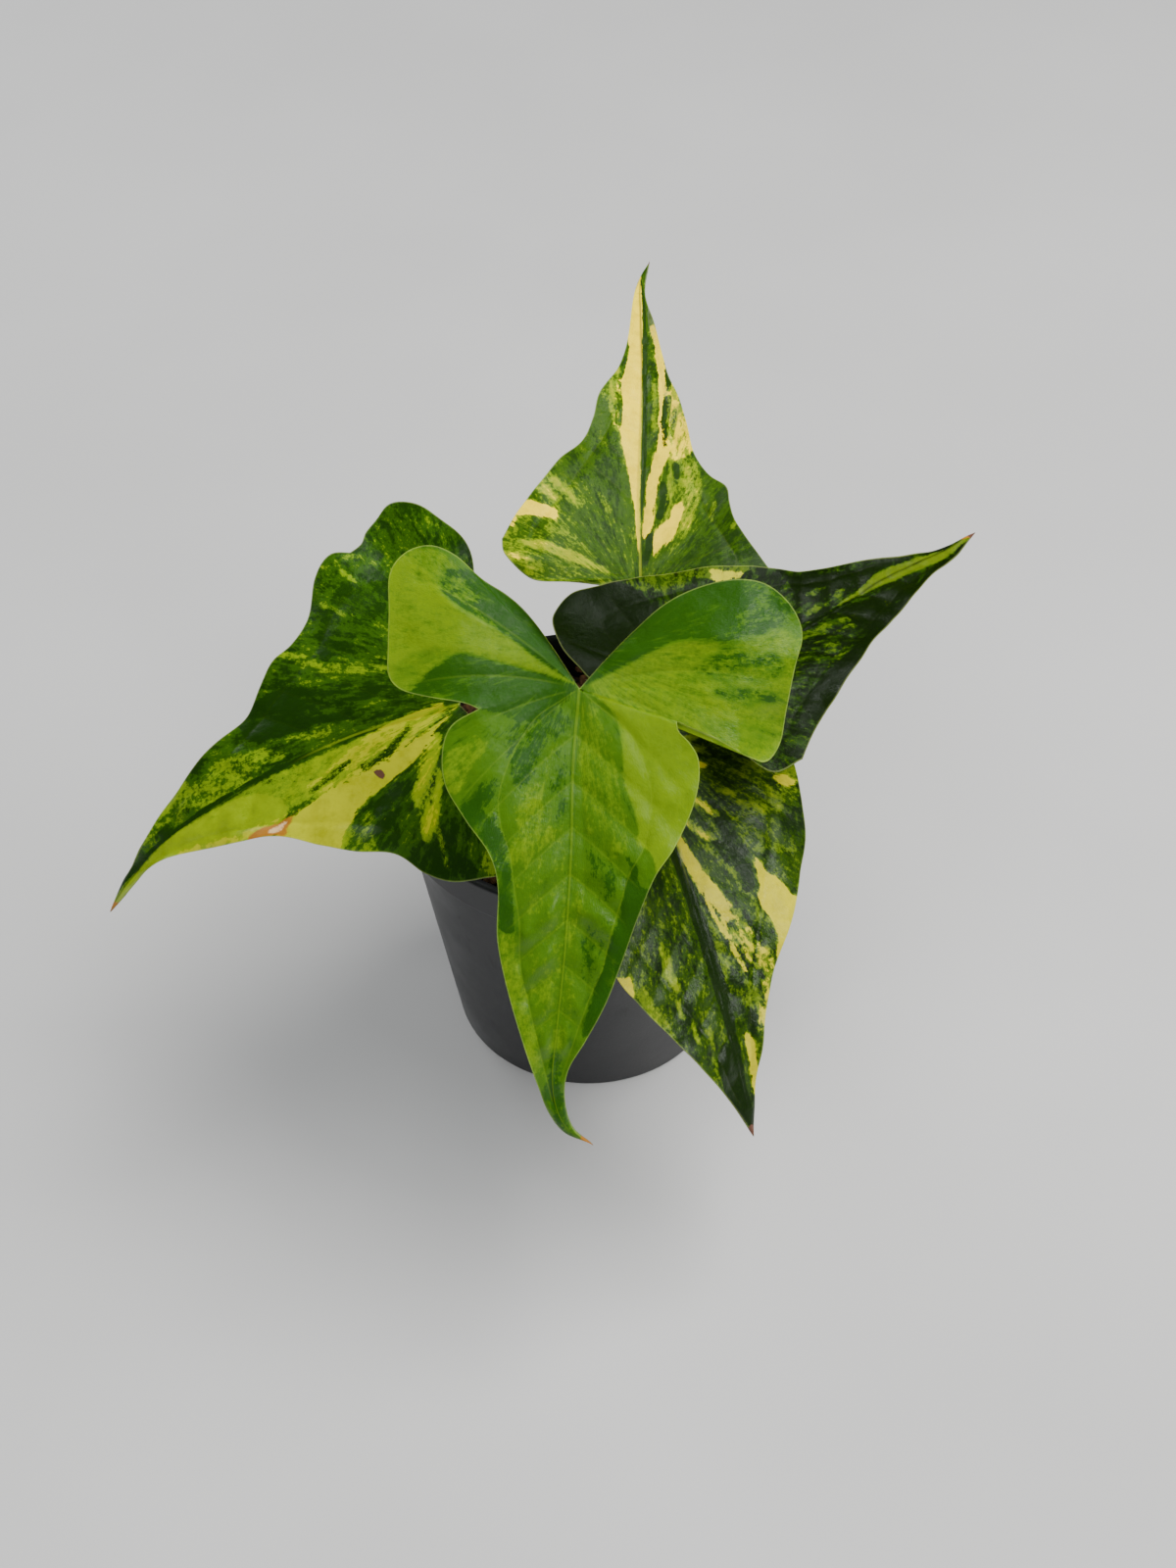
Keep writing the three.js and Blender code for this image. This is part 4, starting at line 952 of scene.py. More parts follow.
def blade_vectors(leaf, half):
    """What the leaf material reads at each place of half a blade."""
    flat = half["flat"]
    along, across = flat[:, 0], flat[:, 1]
    fields = mark_fields(leaf, flat)
    behind = along + GRAIN_ORIGIN
    angle = np.arctan2(across, behind)
    reach = np.hypot(across, behind)
    seed = np.full(len(flat), float(leaf["seed"]))
    shade = lattice_noise(np.column_stack([flat, seed]), SHADE_CELL, leaf["seed"])
    rib_width = RIB_HALF_WIDTH * (1 - 0.8 * half["rib_place"]) + 0.05
    rib = np.minimum(half["rib"] / rib_width, RIB_LIMIT)
    return {
        "grain": (angle * GRAIN_CELLS, reach / GRAIN_LENGTH, seed),
        "marks": fields[:3],
        "stains": fields[3:],
        "body": (along, half["rib_place"], shade),
        "veins": (half["phase"], half["pitch"], half["loop"]),
        "edges": (rib, half["margin"]),
    }


def build_blade(name):
    """A blade of two halves that meet at the midrib, each with a top, an underside and a rim."""
    leaf = LEAVES[name]
    width = RUNG_STEPS + 1
    points = []
    faces = []
    columns = {}
    start = 0
    for side in ("left", "right"):
        half = half_blade(leaf, side)
        along, across = half["flat"].T
        relief = vein_relief(leaf, half)
        top, up = leaf_surface(leaf, along, across, half["edge"], half["turn"], relief)
        points += [top, top - up * blade_depth(half)[:, None]]
        count = len(top)
        rungs = half["rungs"]
        flip = side == "left"
        faces.append(grid_faces(rungs, width, start, flip))
        faces.append(grid_faces(rungs, width, start + count, not flip))
        rim = start + np.arange(rungs - 1) * width + RUNG_STEPS
        strip = np.stack([rim, rim + count, rim + count + width, rim + width], -1)
        faces.append(strip[:, ::-1] if flip else strip)
        start += 2 * count
        vectors = blade_vectors(leaf, half)
        for under in (0.0, 1.0):
            vectors["edges"] = (*vectors["edges"][:2], np.full(count, under))
            for key, parts in vectors.items():
                columns.setdefault(key, []).append(parts)
    mesh = new_mesh(f"leaf_{name}", np.vstack(points), np.vstack(faces).tolist())
    for key, parts in columns.items():
        set_vectors(mesh, key, [np.concatenate([part[axis] for part in parts]) for axis in range(3)])
    weld(mesh)
    new_piece(f"leaf_{name}", mesh, f"blade_{name}")
    mesh.materials.append(leaf_material(name))


class Nodes:
    """Short ways to build the node tree of one material."""

    def __init__(self, name):
        self.material = bpy.data.materials.new(name)
        self.material.use_nodes = True
        self.tree = self.material.node_tree
        self.shader = self.tree.nodes["Principled BSDF"]

    def feed(self, socket, value):
        if isinstance(value, bpy.types.NodeSocket):
            self.tree.links.new(value, socket)
        elif isinstance(value, (tuple, list)) and len(value) == 3 and len(socket.default_value) == 4:
            socket.default_value = (*value, 1)
        else:
            socket.default_value = value

    def add(self, kind, inputs, **settings):
        """A node with its settings, and its inputs by name or number."""
        node = self.tree.nodes.new(kind)
        for key, value in settings.items():
            setattr(node, key, value)
        for key, value in inputs.items():
            self.feed(node.inputs[key], value)
        return node

    def math(self, operation, first, second=0.0):
        return self.add("ShaderNodeMath", {0: first, 1: second}, operation=operation).outputs[0]

    def times(self, first, second):
        return self.math("MULTIPLY", first, second)

    def total(self, *terms):
        """The sum of values, each multiplied by its weight."""
        result = None
        for value, weight in terms:
            part = value if weight == 1 else self.times(value, weight)
            result = part if result is None else self.math("ADD", result, part)
        return result

    def centred(self, value):
        """Noise moved to run from about -1 to 1."""
        return self.times(self.math("SUBTRACT", value, 0.5), 4.0)

    def step(self, value, low, high, start=0.0, end=1.0):
        inputs = {"Value": value, "From Min": low, "From Max": high, "To Min": start, "To Max": end}
        return self.add("ShaderNodeMapRange", inputs, interpolation_type="SMOOTHSTEP").outputs["Result"]

    def mix(self, share, first, second):
        inputs = {"Factor": share, MIX_FIRST: first, MIX_SECOND: second}
        return self.add("ShaderNodeMix", inputs, data_type="RGBA").outputs[MIX_RESULT]

    def vector(self, name):
        return self.add("ShaderNodeAttribute", {}, attribute_name=name).outputs["Vector"]

    def split(self, name):
        return self.add("ShaderNodeSeparateXYZ", {0: self.vector(name)}).outputs

    def place(self):
        return self.add("ShaderNodeTexCoord", {}).outputs["Object"]

    def stretch(self, vector, scale):
        return self.add("ShaderNodeVectorMath", {0: vector, 1: scale}, operation="MULTIPLY").outputs[0]

    def noise(self, vector, scale, detail=3, rough=0.55, distortion=0.0):
        inputs = {"Vector": vector, "Scale": scale, "Detail": detail, "Roughness": rough,
                  "Distortion": distortion}
        return self.add("ShaderNodeTexNoise", inputs).outputs["Fac"]

    def cells(self, vector, scale, feature="F1"):
        inputs = {"Vector": vector, "Scale": scale}
        return self.add("ShaderNodeTexVoronoi", inputs, feature=feature).outputs["Distance"]

    def bump(self, height, distance, strength, below=None):
        """Relief of a height on top of the relief below it."""
        inputs = {"Strength": strength, "Distance": distance, "Height": height}
        if below is not None:
            inputs["Normal"] = below
        return self.add("ShaderNodeBump", inputs).outputs["Normal"]

    def finish(self, colour, roughness, normal=None, **values):
        inputs = {"Base Color": colour, "Roughness": roughness}
        if normal is not None:
            inputs["Normal"] = normal
        inputs.update({key.replace("_", " "): value for key, value in values.items()})
        for key, value in inputs.items():
            self.feed(self.shader.inputs[key], value)
        return self.material


def leaf_material(name):
    """Variegated leaf tissue: nested blotches of mid green, lime and cream on dark green, a few of
    them painted shade, with pale veins and margin, painted shade beside the midrib, a paler
    underside, brown tips and stains, and a waxy gloss."""
    palette = LEAVES[name]["palette"]
    mottle = LEAVES[name]["mottle"]
    soft = mottle["soft"]
    n = Nodes(f"leaf_{name}")
    grain = n.vector("grain")
    place = n.place()
    cream, lime, dark = n.split("marks")
    brown, burn, scorch = n.split("stains")
    phase, pitch, loop = n.split("veins")
    rib, margin, under = n.split("edges")
    along, _, shade = n.split("body")

    fine = n.centred(n.noise(grain, 2.2, 4, 0.6))
    streaky = n.centred(n.noise(n.stretch(grain, SECOND_LAYER), 1.0, 4, 0.62))
    third = n.centred(n.noise(n.stretch(grain, THIRD_LAYER), 1.3, 4, 0.62))
    cloud = n.centred(n.noise(grain, 0.4, 2, 0.5))
    flecks = n.centred(n.noise(grain, 6.5, 3, 0.6))
    speck = n.centred(n.noise(place, 1000, 3, 0.65))
    edge_noise = n.total((fine, 0.5), (streaky, 0.5), (speck, 0.2))
    lime_noise = n.total((streaky, 0.45), (third, 0.5), (speck, 0.5), (fine, 0.3), (flecks, 0.35),
                         (cloud, 0.2))
    dark_noise = n.total((third, 0.6), (fine, 0.4), (speck, 0.4), (flecks, 0.35))

    dark_share = n.step(n.total((dark, 1), (dark_noise, 1)), -soft, soft)
    cream_value = n.total((cream, 1), (edge_noise, 1), (dark_share, -1.2))
    cream_share = n.step(cream_value, -0.12, 0.22)
    near_cream = n.step(cream_value, -0.9, 0.1)
    lime_level = n.math("MAXIMUM", lime, mottle["lime"])
    lime_value = n.total((lime_level, 1), (lime_noise, 1), (dark_share, -0.7), (near_cream, 0.7))
    lime_share = n.step(lime_value, -soft, soft)
    bright_share = n.times(lime_share, n.step(lime_value, 0.3, 0.9))
    near_lime = n.step(lime_value, -1.0, 0.0)
    mid_value = n.total((cloud, 0.4), (streaky, 0.4), (fine, 0.35), (near_lime, 0.8), (dark_share, -0.9))
    mid_share = n.step(n.math("ADD", mid_value, mottle["mid"]), -0.2, 0.55)
    colour = n.mix(mid_share, palette["dark"], palette["mid"])
    colour = n.mix(lime_share, colour, palette["lime"])
    colour = n.mix(bright_share, colour, palette["bright"])
    colour = n.mix(cream_share, colour, palette["cream"])

    pocks = n.times(n.step(n.noise(place, 300, 4, 0.7), 0.4, 0.7), 0.2)
    colour = n.mix(pocks, colour, palette["dark"])
    shading = n.times(n.step(shade, -0.4, 0.8), 0.16)
    colour = n.mix(shading, colour, n.mix(0.5, colour, palette["mid"]))

    line = n.math("ABSOLUTE", n.math("SUBTRACT", n.math("FRACT", n.math("ADD", phase, 0.5)), 0.5))
    line = n.times(line, pitch)
    lateral_share = n.times(n.step(line, 0.08, 0.4, 1.0, 0.0), n.step(margin, 1.0, 6.0))
    loop_share = n.step(n.math("ABSOLUTE", loop), 0.06, 0.3, 1.0, 0.0)
    loop_share = n.times(loop_share, n.step(margin, 0.4, 1.6))
    rib_share = n.step(rib, 0.4, 1.0, 1.0, 0.0)
    # Painted shade along both flanks of the midrib's channel, darkening the blade towards the dark green.
    rib_flank_shade = n.times(n.step(rib, 1.0, 2.6, 1.0, 0.0), 0.3)
    vein_tint = tuple(0.6 * a + 0.4 * b for a, b in zip(palette["bright"], palette["cream"]))
    pale_vein = n.mix(0.35, colour, vein_tint)
    rib_end = n.step(along, mottle["pale_rib"] - 8, mottle["pale_rib"] + 8)
    pale_rib = n.mix(rib_end, n.mix(0.8, colour, palette["bright"]), palette["dark"])
    colour = n.mix(rib_flank_shade, colour, palette["dark"])
    colour = n.mix(n.times(lateral_share, mottle["veins"]), colour, pale_vein)
    colour = n.mix(n.times(loop_share, mottle["veins"] * 1.4), colour, pale_vein)
    colour = n.mix(n.times(rib_share, 0.55), colour, pale_rib)
    edge_share = n.times(n.step(margin, 0.12, 0.36, 1.0, 0.0), 0.4)
    colour = n.mix(edge_share, colour, n.mix(0.5, colour, MARGIN_TINT))

    pale = n.mix(0.4, colour, UNDERSIDE_TINT)
    ridges = n.math("MAXIMUM", n.math("MAXIMUM", lateral_share, loop_share), rib_share)
    pale = n.mix(n.times(ridges, 0.4), pale, UNDERSIDE_VEIN_TINT)
    colour = n.mix(under, colour, pale)
    colour = n.mix(n.step(n.total((burn, 1), (edge_noise, 0.9)), -0.3, 0.6), colour, BURN_TINT)
    colour = n.mix(n.step(n.total((scorch, 1), (edge_noise, 0.8)), 0.0, 0.7), colour, SCORCH_TINT)
    colour = n.mix(n.step(n.total((brown, 1), (speck, 0.5)), -0.2, 0.3), colour, BROWN_TINT)

    blister = n.noise(place, 330, 2, 0.5)
    net = n.step(n.cells(grain, 4.6, "DISTANCE_TO_EDGE"), 0.0, 0.2)
    pores = n.noise(place, 2600, 2, 0.7)
    normal = n.bump(blister, 0.0005, 0.5)
    normal = n.bump(net, 0.00004, 0.4, normal)
    normal = n.bump(pores, 0.00002, 0.3, normal)
    wax = n.noise(place, 120, 4, 0.65)
    gloss = n.math("ADD", n.step(wax, 0.3, 0.7, 0.31, 0.42), n.times(under, 0.15))
    return n.finish(
        colour, gloss, normal, Subsurface_Weight=0.15, Subsurface_Radius=(0.8, 1.0, 0.2),
        Subsurface_Scale=0.001, Specular_IOR_Level=0.32,
    )


def tube(path, radii, sides, start=0):
    """Points and faces of a closed tube. radii has one row for each ring, and may have a column for
    each side."""
    path = np.asarray(path, float)
    radii = np.broadcast_to(np.asarray(radii, float).reshape(len(path), -1), (len(path), sides))
    tangents = np.gradient(path, axis=0)
    reference = np.array([1, 0.3, 0])
    turns = 2 * np.pi * np.arange(sides) / sides
    rings = []
    for point, tangent, radius in zip(path, tangents, radii):
        tangent = unit(tangent)
        side = unit(reference - tangent * (reference @ tangent))
        up = np.cross(tangent, side)
        reference = side
        ring = side * np.cos(turns)[:, None] + up * np.sin(turns)[:, None]
        rings.append(point + ring * radius[:, None])
    points = np.vstack(rings)
    faces = ring_faces(len(path), sides, start)
    last = start + (len(path) - 1) * sides
    faces.append(tuple(start + k for k in reversed(range(sides))))
    faces.append(tuple(last + k for k in range(sides)))
    return points, faces


def bezier(first, second, third, fourth, count=400):
    t = np.linspace(0, 1, count)[:, None]
    s = 1 - t
    return s ** 3 * first + 3 * s * s * t * second + 3 * s * t * t * third + t ** 3 * fourth


def stalk_path(name):
    """The stalk's path from inside the crown to the underside of its blade."""
    leaf = LEAVES[name]
    stalk = leaf["stalk"]
    spot = np.array([STALK_KNEE_RADIUS])
    nothing = np.zeros(1)
    seat, up = leaf_surface(leaf, spot, nothing, nothing, nothing, nothing)
    top = seat[0] - up[0] * SEAT_BELOW_TOP
    base = np.array(stalk["base"], float)
    out = unit(np.array(stalk["out"], float))
    curve = bezier(base, base + out * stalk["out_reach"], top - up[0] * stalk["top_reach"], top)
    curve = np.vstack([base - out * STALK_SINK, curve])
    return even_points(curve, STALK_STEPS)


def build_stalk(name):
    path = stalk_path(name)
    steps = np.linalg.norm(np.diff(path, axis=0), axis=1)
    walked = np.concatenate([[0], np.cumsum(steps)])
    from_base = walked - STALK_SINK
    from_top = walked[-1] - walked
    radius = STALK_RADIUS + (STALK_KNEE_RADIUS - STALK_RADIUS) * np.exp(-(from_top / STALK_KNEE) ** 4)
    radius += (STALK_BASE_RADIUS - STALK_RADIUS) * ridge(from_base, STALK_SHEATH)
    turns = 2 * np.pi * np.arange(STALK_SIDES) / STALK_SIDES
    groove = ridge(np.cos(turns - math.pi / 2) - 1, STALK_GROOVE_WIDTH)
    depth = STALK_GROOVE * smooth_step(5, 14, from_top) * smooth_step(4, 14, from_base)
    shape = radius[:, None] - depth[:, None] * groove[None, :]
    ring_points = path + lattice_noise(path, 5, 4)[:, None] * STALK_UNEVEN
    points, faces = tube(ring_points, shape, STALK_SIDES)
    outward = unit_rows(points - np.repeat(path, STALK_SIDES, 0))
    points += STALK_UNEVEN * lattice_noise(points, 1.6, 9)[:, None] * outward
    mesh = new_mesh(f"petiole_{name}", points, faces)
    knee = np.repeat(from_top, STALK_SIDES)
    foot = np.repeat(from_base, STALK_SIDES)
    set_vectors(mesh, "stem", (knee, foot, np.tile(groove, len(path))))
    young = name == "front"
    new_piece(f"petiole_{name}", mesh, f"stalk_{name}")
    mesh.materials.append(stalk_material(name, young))


def stalk_material(name, young):
    n = Nodes(f"petiole_{name}")
    from_top, from_base, groove = n.split("stem")
    place = n.place()
    green = (0.20, 0.34, 0.04) if young else (0.10, 0.19, 0.03)
    deep = (0.10, 0.20, 0.02) if young else (0.05, 0.10, 0.02)
    streaks = n.noise(n.stretch(place, (1, 1, 0.12)), 900, 3, 0.6)
    colour = n.mix(n.step(streaks, 0.35, 0.7), deep, green)
    flecks = n.cells(place, 900)
    colour = n.mix(n.step(flecks, 0.12, 0.2, 0.35, 0.0), colour, (0.36, 0.42, 0.16))
    colour = n.mix(n.step(from_top, 3.0, 9.0, 0.55, 0.0), colour, (0.24, 0.30, 0.05))
    colour = n.mix(n.step(from_base, 2.0, 12.0, 0.6, 0.0), colour, (0.22, 0.17, 0.07))
    # Painted shade: the groove along the stalk is darkened towards the deep green.
    colour = n.mix(n.times(groove, 0.25), colour, deep)
    normal = n.bump(streaks, 0.00008, 0.5)
    return n.finish(colour, n.step(streaks, 0.3, 0.7, 0.34, 0.5), normal, Coat_Weight=0.08,
                    Subsurface_Weight=0.12, Subsurface_Radius=(0.8, 1.0, 0.3), Subsurface_Scale=0.001)


def lathe(profile, sides):
    """Points and faces of a profile of (radius, height) turned about Z, closed at the axis."""
    turns = 2 * np.pi * np.arange(sides) / sides
    points = []
    for radius, height in profile:
        ring = np.column_stack([radius * np.cos(turns), radius * np.sin(turns), np.full(sides, height)])
        points.append(ring)
    return np.vstack(points), ring_faces(len(profile), sides, 0)


def apply_modifiers(piece):
    """Turns the piece's modifiers into shape, and returns its new mesh."""
    depsgraph = bpy.context.evaluated_depsgraph_get()
    mesh = bpy.data.meshes.new_from_object(piece.evaluated_get(depsgraph))
    old = piece.data
    piece.modifiers.clear()
    piece.data = mesh
    bpy.data.meshes.remove(old)
    return mesh


def vertex_rows(mesh, key):
    flat = np.zeros(len(mesh.vertices) * 3)
    mesh.vertices.foreach_get(key, flat)
    return flat.reshape(-1, 3)


def root_tube(angle, reach, rise, start):
    """A root that leaves the crown, arches over the mix and dives into it."""
    part = np.linspace(0, 1, ROOT_STEPS + 1)
    distance = ROOT_START + (reach - ROOT_START) * np.sin(part * np.pi / 2)
    height = MIX_TOP + ROOT_LIFT + rise * np.sin(part * np.pi * 0.8) - ROOT_DIVE * part ** 4
    turn = math.radians(angle) + ROOT_SWAY * np.sin(part * 5 + angle)
    path = np.column_stack([distance * np.cos(turn), distance * np.sin(turn), height])
    radii = ROOT_RADIUS * (1 - ROOT_TAPER * part) * (1 + ROOT_UNEVEN * np.sin(part * 23 + angle))
    return tube(path, radii, ROOT_SIDES, start)


def crown_profile():
    """Radius and height pairs of the stem, with a swollen ring at each old leaf scar."""
    rows = [(0, CROWN_FOOT)]
    for part in np.linspace(0, 1, CROWN_RINGS):
        height = CROWN_FOOT + (CROWN_TOP - CROWN_FOOT) * part
        girth = CROWN_WAIST + CROWN_SWELL * smooth_step(0, 0.45, part)
        body = CROWN_RADIUS * girth * (1 - part ** 7) ** 0.5
        wave = np.cos(2 * np.pi * CROWN_SCARS * part)
        scar = CROWN_SCAR_HEIGHT * wave * smooth_step(0.1, 0.3, part)
        rows.append((max(float(body + scar * (1 - part ** 4)), 0.02), height))
    rows.append((0, CROWN_TOP))
    return rows


def build_crown():
    points, faces = lathe(crown_profile(), CROWN_SIDES)
    everything = [points]
    for angle, reach, rise in ROOTS:
        start = sum(len(part) for part in everything)
        more, more_faces = root_tube(angle, reach, rise, start)
        everything.append(more)
        faces = faces + more_faces
    mesh = new_mesh("crown_and_roots", np.vstack(everything), faces)
    weld(mesh)
    piece = new_piece("crown_and_roots", mesh, "crown")
    remesh = piece.modifiers.new("join", "REMESH")
    remesh.mode = "VOXEL"
    remesh.voxel_size = CROWN_VOXEL * MM
    remesh.use_smooth_shade = True
    smooth = piece.modifiers.new("soften", "SMOOTH")
    smooth.factor = 0.5
    smooth.iterations = 3
    mesh = apply_modifiers(piece)
    points = vertex_rows(mesh, "co") / MM
    normals = vertex_rows(mesh, "normal")
    distance = np.hypot(points[:, 0], points[:, 1])
    stem = 1 - smooth_step(8, 12, distance)
    bumps = CROWN_BUMPS * lattice_noise(points, 2.2, 5) * stem
    bumps = bumps + CROWN_GRAIN * lattice_noise(points, 1.0, 6)
    points = points + normals * bumps[:, None]
    mesh.vertices.foreach_set("co", (points * MM).ravel())
    mesh.update()
    set_vectors(mesh, "stem", (stem, points[:, 2] - MIX_TOP, distance))
    mesh.materials.append(crown_material())


def crown_material():
    n = Nodes("crown_and_roots")
    stem, height, distance = n.split("stem")
    place = n.place()
    patches = n.noise(place, 420, 5, 0.65)
    woody = n.mix(n.step(patches, 0.35, 0.65), (0.055, 0.035, 0.018), (0.17, 0.13, 0.05))
    woody = n.mix(n.step(height, 5.0, 11.0, 0.0, 0.7), woody, (0.12, 0.17, 0.035))
    root = n.mix(n.step(patches, 0.4, 0.62), (0.26, 0.21, 0.12), (0.48, 0.42, 0.28))
    root = n.mix(n.step(distance, 18.0, 28.0, 0.0, 0.55), root, (0.16, 0.10, 0.05))
    colour = n.mix(stem, root, woody)
    fuzz = n.noise(place, 3200, 3, 0.7)
    normal = n.bump(patches, 0.0004, 0.6)
    normal = n.bump(fuzz, 0.0001, 0.5, normal)
    return n.finish(colour, n.step(patches, 0.3, 0.7, 0.6, 0.85), normal)


def chip_block(random, size, flat, jag):
    """Points and faces of a rough block about the origin, split fine enough to be knocked about."""
    shape = bmesh.new()
    bmesh.ops.create_cube(shape, size=1)
    bmesh.ops.subdivide_edges(shape, edges=shape.edges, cuts=CHIP_CUTS, use_grid_fill=True)
    points = np.array([v.co for v in shape.verts])
    faces = [[v.index for v in f.verts] for f in shape.faces]
    shape.free()
    scale = size * np.array([1, random.uniform(0.5, 0.8), flat * random.uniform(0.8, 1.2)])
    corners = random.uniform(-CHIP_SKEW, CHIP_SKEW, 3)
    points = points * (1 + points[:, [1, 2, 0]] * corners)
    round_off = 1 - CHIP_ROUNDING * np.sum(points ** 2, axis=1, keepdims=True)
    points = points * round_off * scale
    points = points + jag * size * random.normal(0, 1, points.shape)
    return points, faces


def turned(points, random, tilt):
    """The points turned by a random heading and a small random tilt."""
    heading = random.uniform(0, 2 * math.pi)
    a, b = random.normal(0, tilt, 2)
    about_z = np.array([
        [math.cos(heading), -math.sin(heading), 0],
        [math.sin(heading), math.cos(heading), 0],
        [0, 0, 1],
    ])
    about_x = np.array([[1, 0, 0], [0, math.cos(a), -math.sin(a)], [0, math.sin(a), math.cos(a)]])
    about_y = np.array([[math.cos(b), 0, math.sin(b)], [0, 1, 0], [-math.sin(b), 0, math.cos(b)]])
    return points @ (about_z @ about_x @ about_y).T


def inner_radius(height):
    """The pot's inner radius, which stays the same from the foot of its rim up."""
    part = min(height / (POT_HEIGHT - POT_RIM_HEIGHT), 1)
    return POT_BASE_RADIUS + (POT_TOP_RADIUS - POT_BASE_RADIUS) * part - POT_WALL


def mix_plug():
    """The body of the mix: a plug that fills the pot, with an uneven top."""
    foot = POT_FLOOR + MIX_GAP
    shoulder = MIX_TOP - MIX_SHOULDER
    profile = [(0, foot)]
    for height in np.linspace(foot, shoulder, 12):
        profile.append((inner_radius(height) - MIX_GAP, height))
    outer = inner_radius(shoulder) - MIX_GAP
    for part in np.linspace(0, 1, 40)[1:]:
        profile.append((outer * (1 - part), MIX_TOP - MIX_EDGE_DROP * math.exp(-part * 9)))
    points, faces = lathe(profile, MIX_SIDES)
    distance = np.hypot(points[:, 0], points[:, 1])
    top = (points[:, 2] > shoulder + 0.1) & (distance < outer - 0.8)
    rough = MIX_HEAPS * lattice_noise(points, 5, 2) + MIX_CLODS * lattice_noise(points, 2, 3)
    points[:, 2] += np.where(top, rough, 0)
    return points, faces


def scatter(random, outer, count, kind, sizes, flat, jag, tilt, rise, first):
    """Chips of one kind, spread evenly over the top of the mix from a first radius out."""
    golden = math.pi * (3 - math.sqrt(5))
    for i in range(count):
        size = random.uniform(*sizes) * random.uniform(0.8, 1.25)
        shape, faces = chip_block(random, size, flat, jag)
        shape = turned(shape, random, tilt)
        spread = np.hypot(shape[:, 0], shape[:, 1]).max()
        part = (i + random.uniform(0.1, 0.9)) / count
        reach = math.sqrt(first ** 2 + (max(outer - spread, first) ** 2 - first ** 2) * part)
        turn = i * golden + random.uniform(-0.3, 0.3)
        height = MIX_TOP + random.uniform(*rise) - 0.2 * size * flat
        shape = shape + (reach * math.cos(turn), reach * math.sin(turn), height)
        yield shape, faces, (kind, random.uniform(0, 1), random.uniform(0, 1))


def build_mix():
    random = np.random.default_rng(MIX_SEED)
    outer = inner_radius(MIX_TOP) - MIX_GAP - 1
    groups = [(*mix_plug(), (0.0, 0.5, 0.0))]
    for row in CHIPS:
        groups += scatter(random, outer, *row)
    faces = []
    start = 0
    for shape, shape_faces, _ in groups:
        faces += [[start + index for index in face] for face in shape_faces]
        start += len(shape)
    mesh = new_mesh("bark_mix", np.vstack([shape for shape, _, _ in groups]), faces)
    kinds = np.vstack([np.tile(kind, (len(shape), 1)) for shape, _, kind in groups])
    set_vectors(mesh, "kind", kinds.T)
    new_piece("bark_mix", mesh, "potting_mix")
    mesh.materials.append(mix_material())


def mix_material():
    """Bark in several browns, pale pumice and dark soil, told apart by the kind attribute."""
    n = Nodes("bark_mix")
    kind, tone, other = n.split("kind")
    place = n.place()
    layers = n.noise(n.stretch(place, (1, 1, 2.5)), 520, 5, 0.7, 0.6)
    bark = n.mix(n.step(tone, 0.0, 1.0), (0.045, 0.022, 0.011), (0.22, 0.105, 0.045))
    bark = n.mix(n.step(layers, 0.35, 0.7), n.mix(0.55, bark, (0.018, 0.01, 0.006)), bark)
    bark = n.mix(n.step(other, 0.82, 0.9), bark, (0.02, 0.018, 0.016))
    pits = n.cells(place, 1500)
    stone = n.mix(n.step(pits, 0.1, 0.5), (0.20, 0.18, 0.15), (0.58, 0.55, 0.49))
    colour = n.mix(n.step(kind, 1.4, 1.6), bark, stone)
    soil = n.mix(n.step(layers, 0.4, 0.6), (0.012, 0.008, 0.005), (0.05, 0.028, 0.015))
    colour = n.mix(n.step(kind, 0.4, 0.6), soil, colour)
    normal = n.bump(layers, 0.0006, 0.8)
    normal = n.bump(pits, 0.0002, 0.5, normal)
    return n.finish(colour, n.step(layers, 0.3, 0.7, 0.62, 0.9), normal)


def rounded_profile(corners, radius, steps=5):
    """A profile with each inner corner replaced by a short curve of even steps."""
    rows = [corners[0]]
    for before, corner, after in zip(corners[:-2], corners[1:-1], corners[2:]):
        here = np.array(corner, float)
        back = np.array(before, float) - here
        ahead = np.array(after, float) - here
        cut = min(radius, 0.45 * np.linalg.norm(back), 0.45 * np.linalg.norm(ahead))
        start = here + unit(back) * cut
        end = here + unit(ahead) * cut
        for t in np.linspace(0, 1, steps):
            rows.append(tuple((1 - t) ** 2 * start + 2 * t * (1 - t) * here + t * t * end))
    rows.append(corners[-1])
    return rows


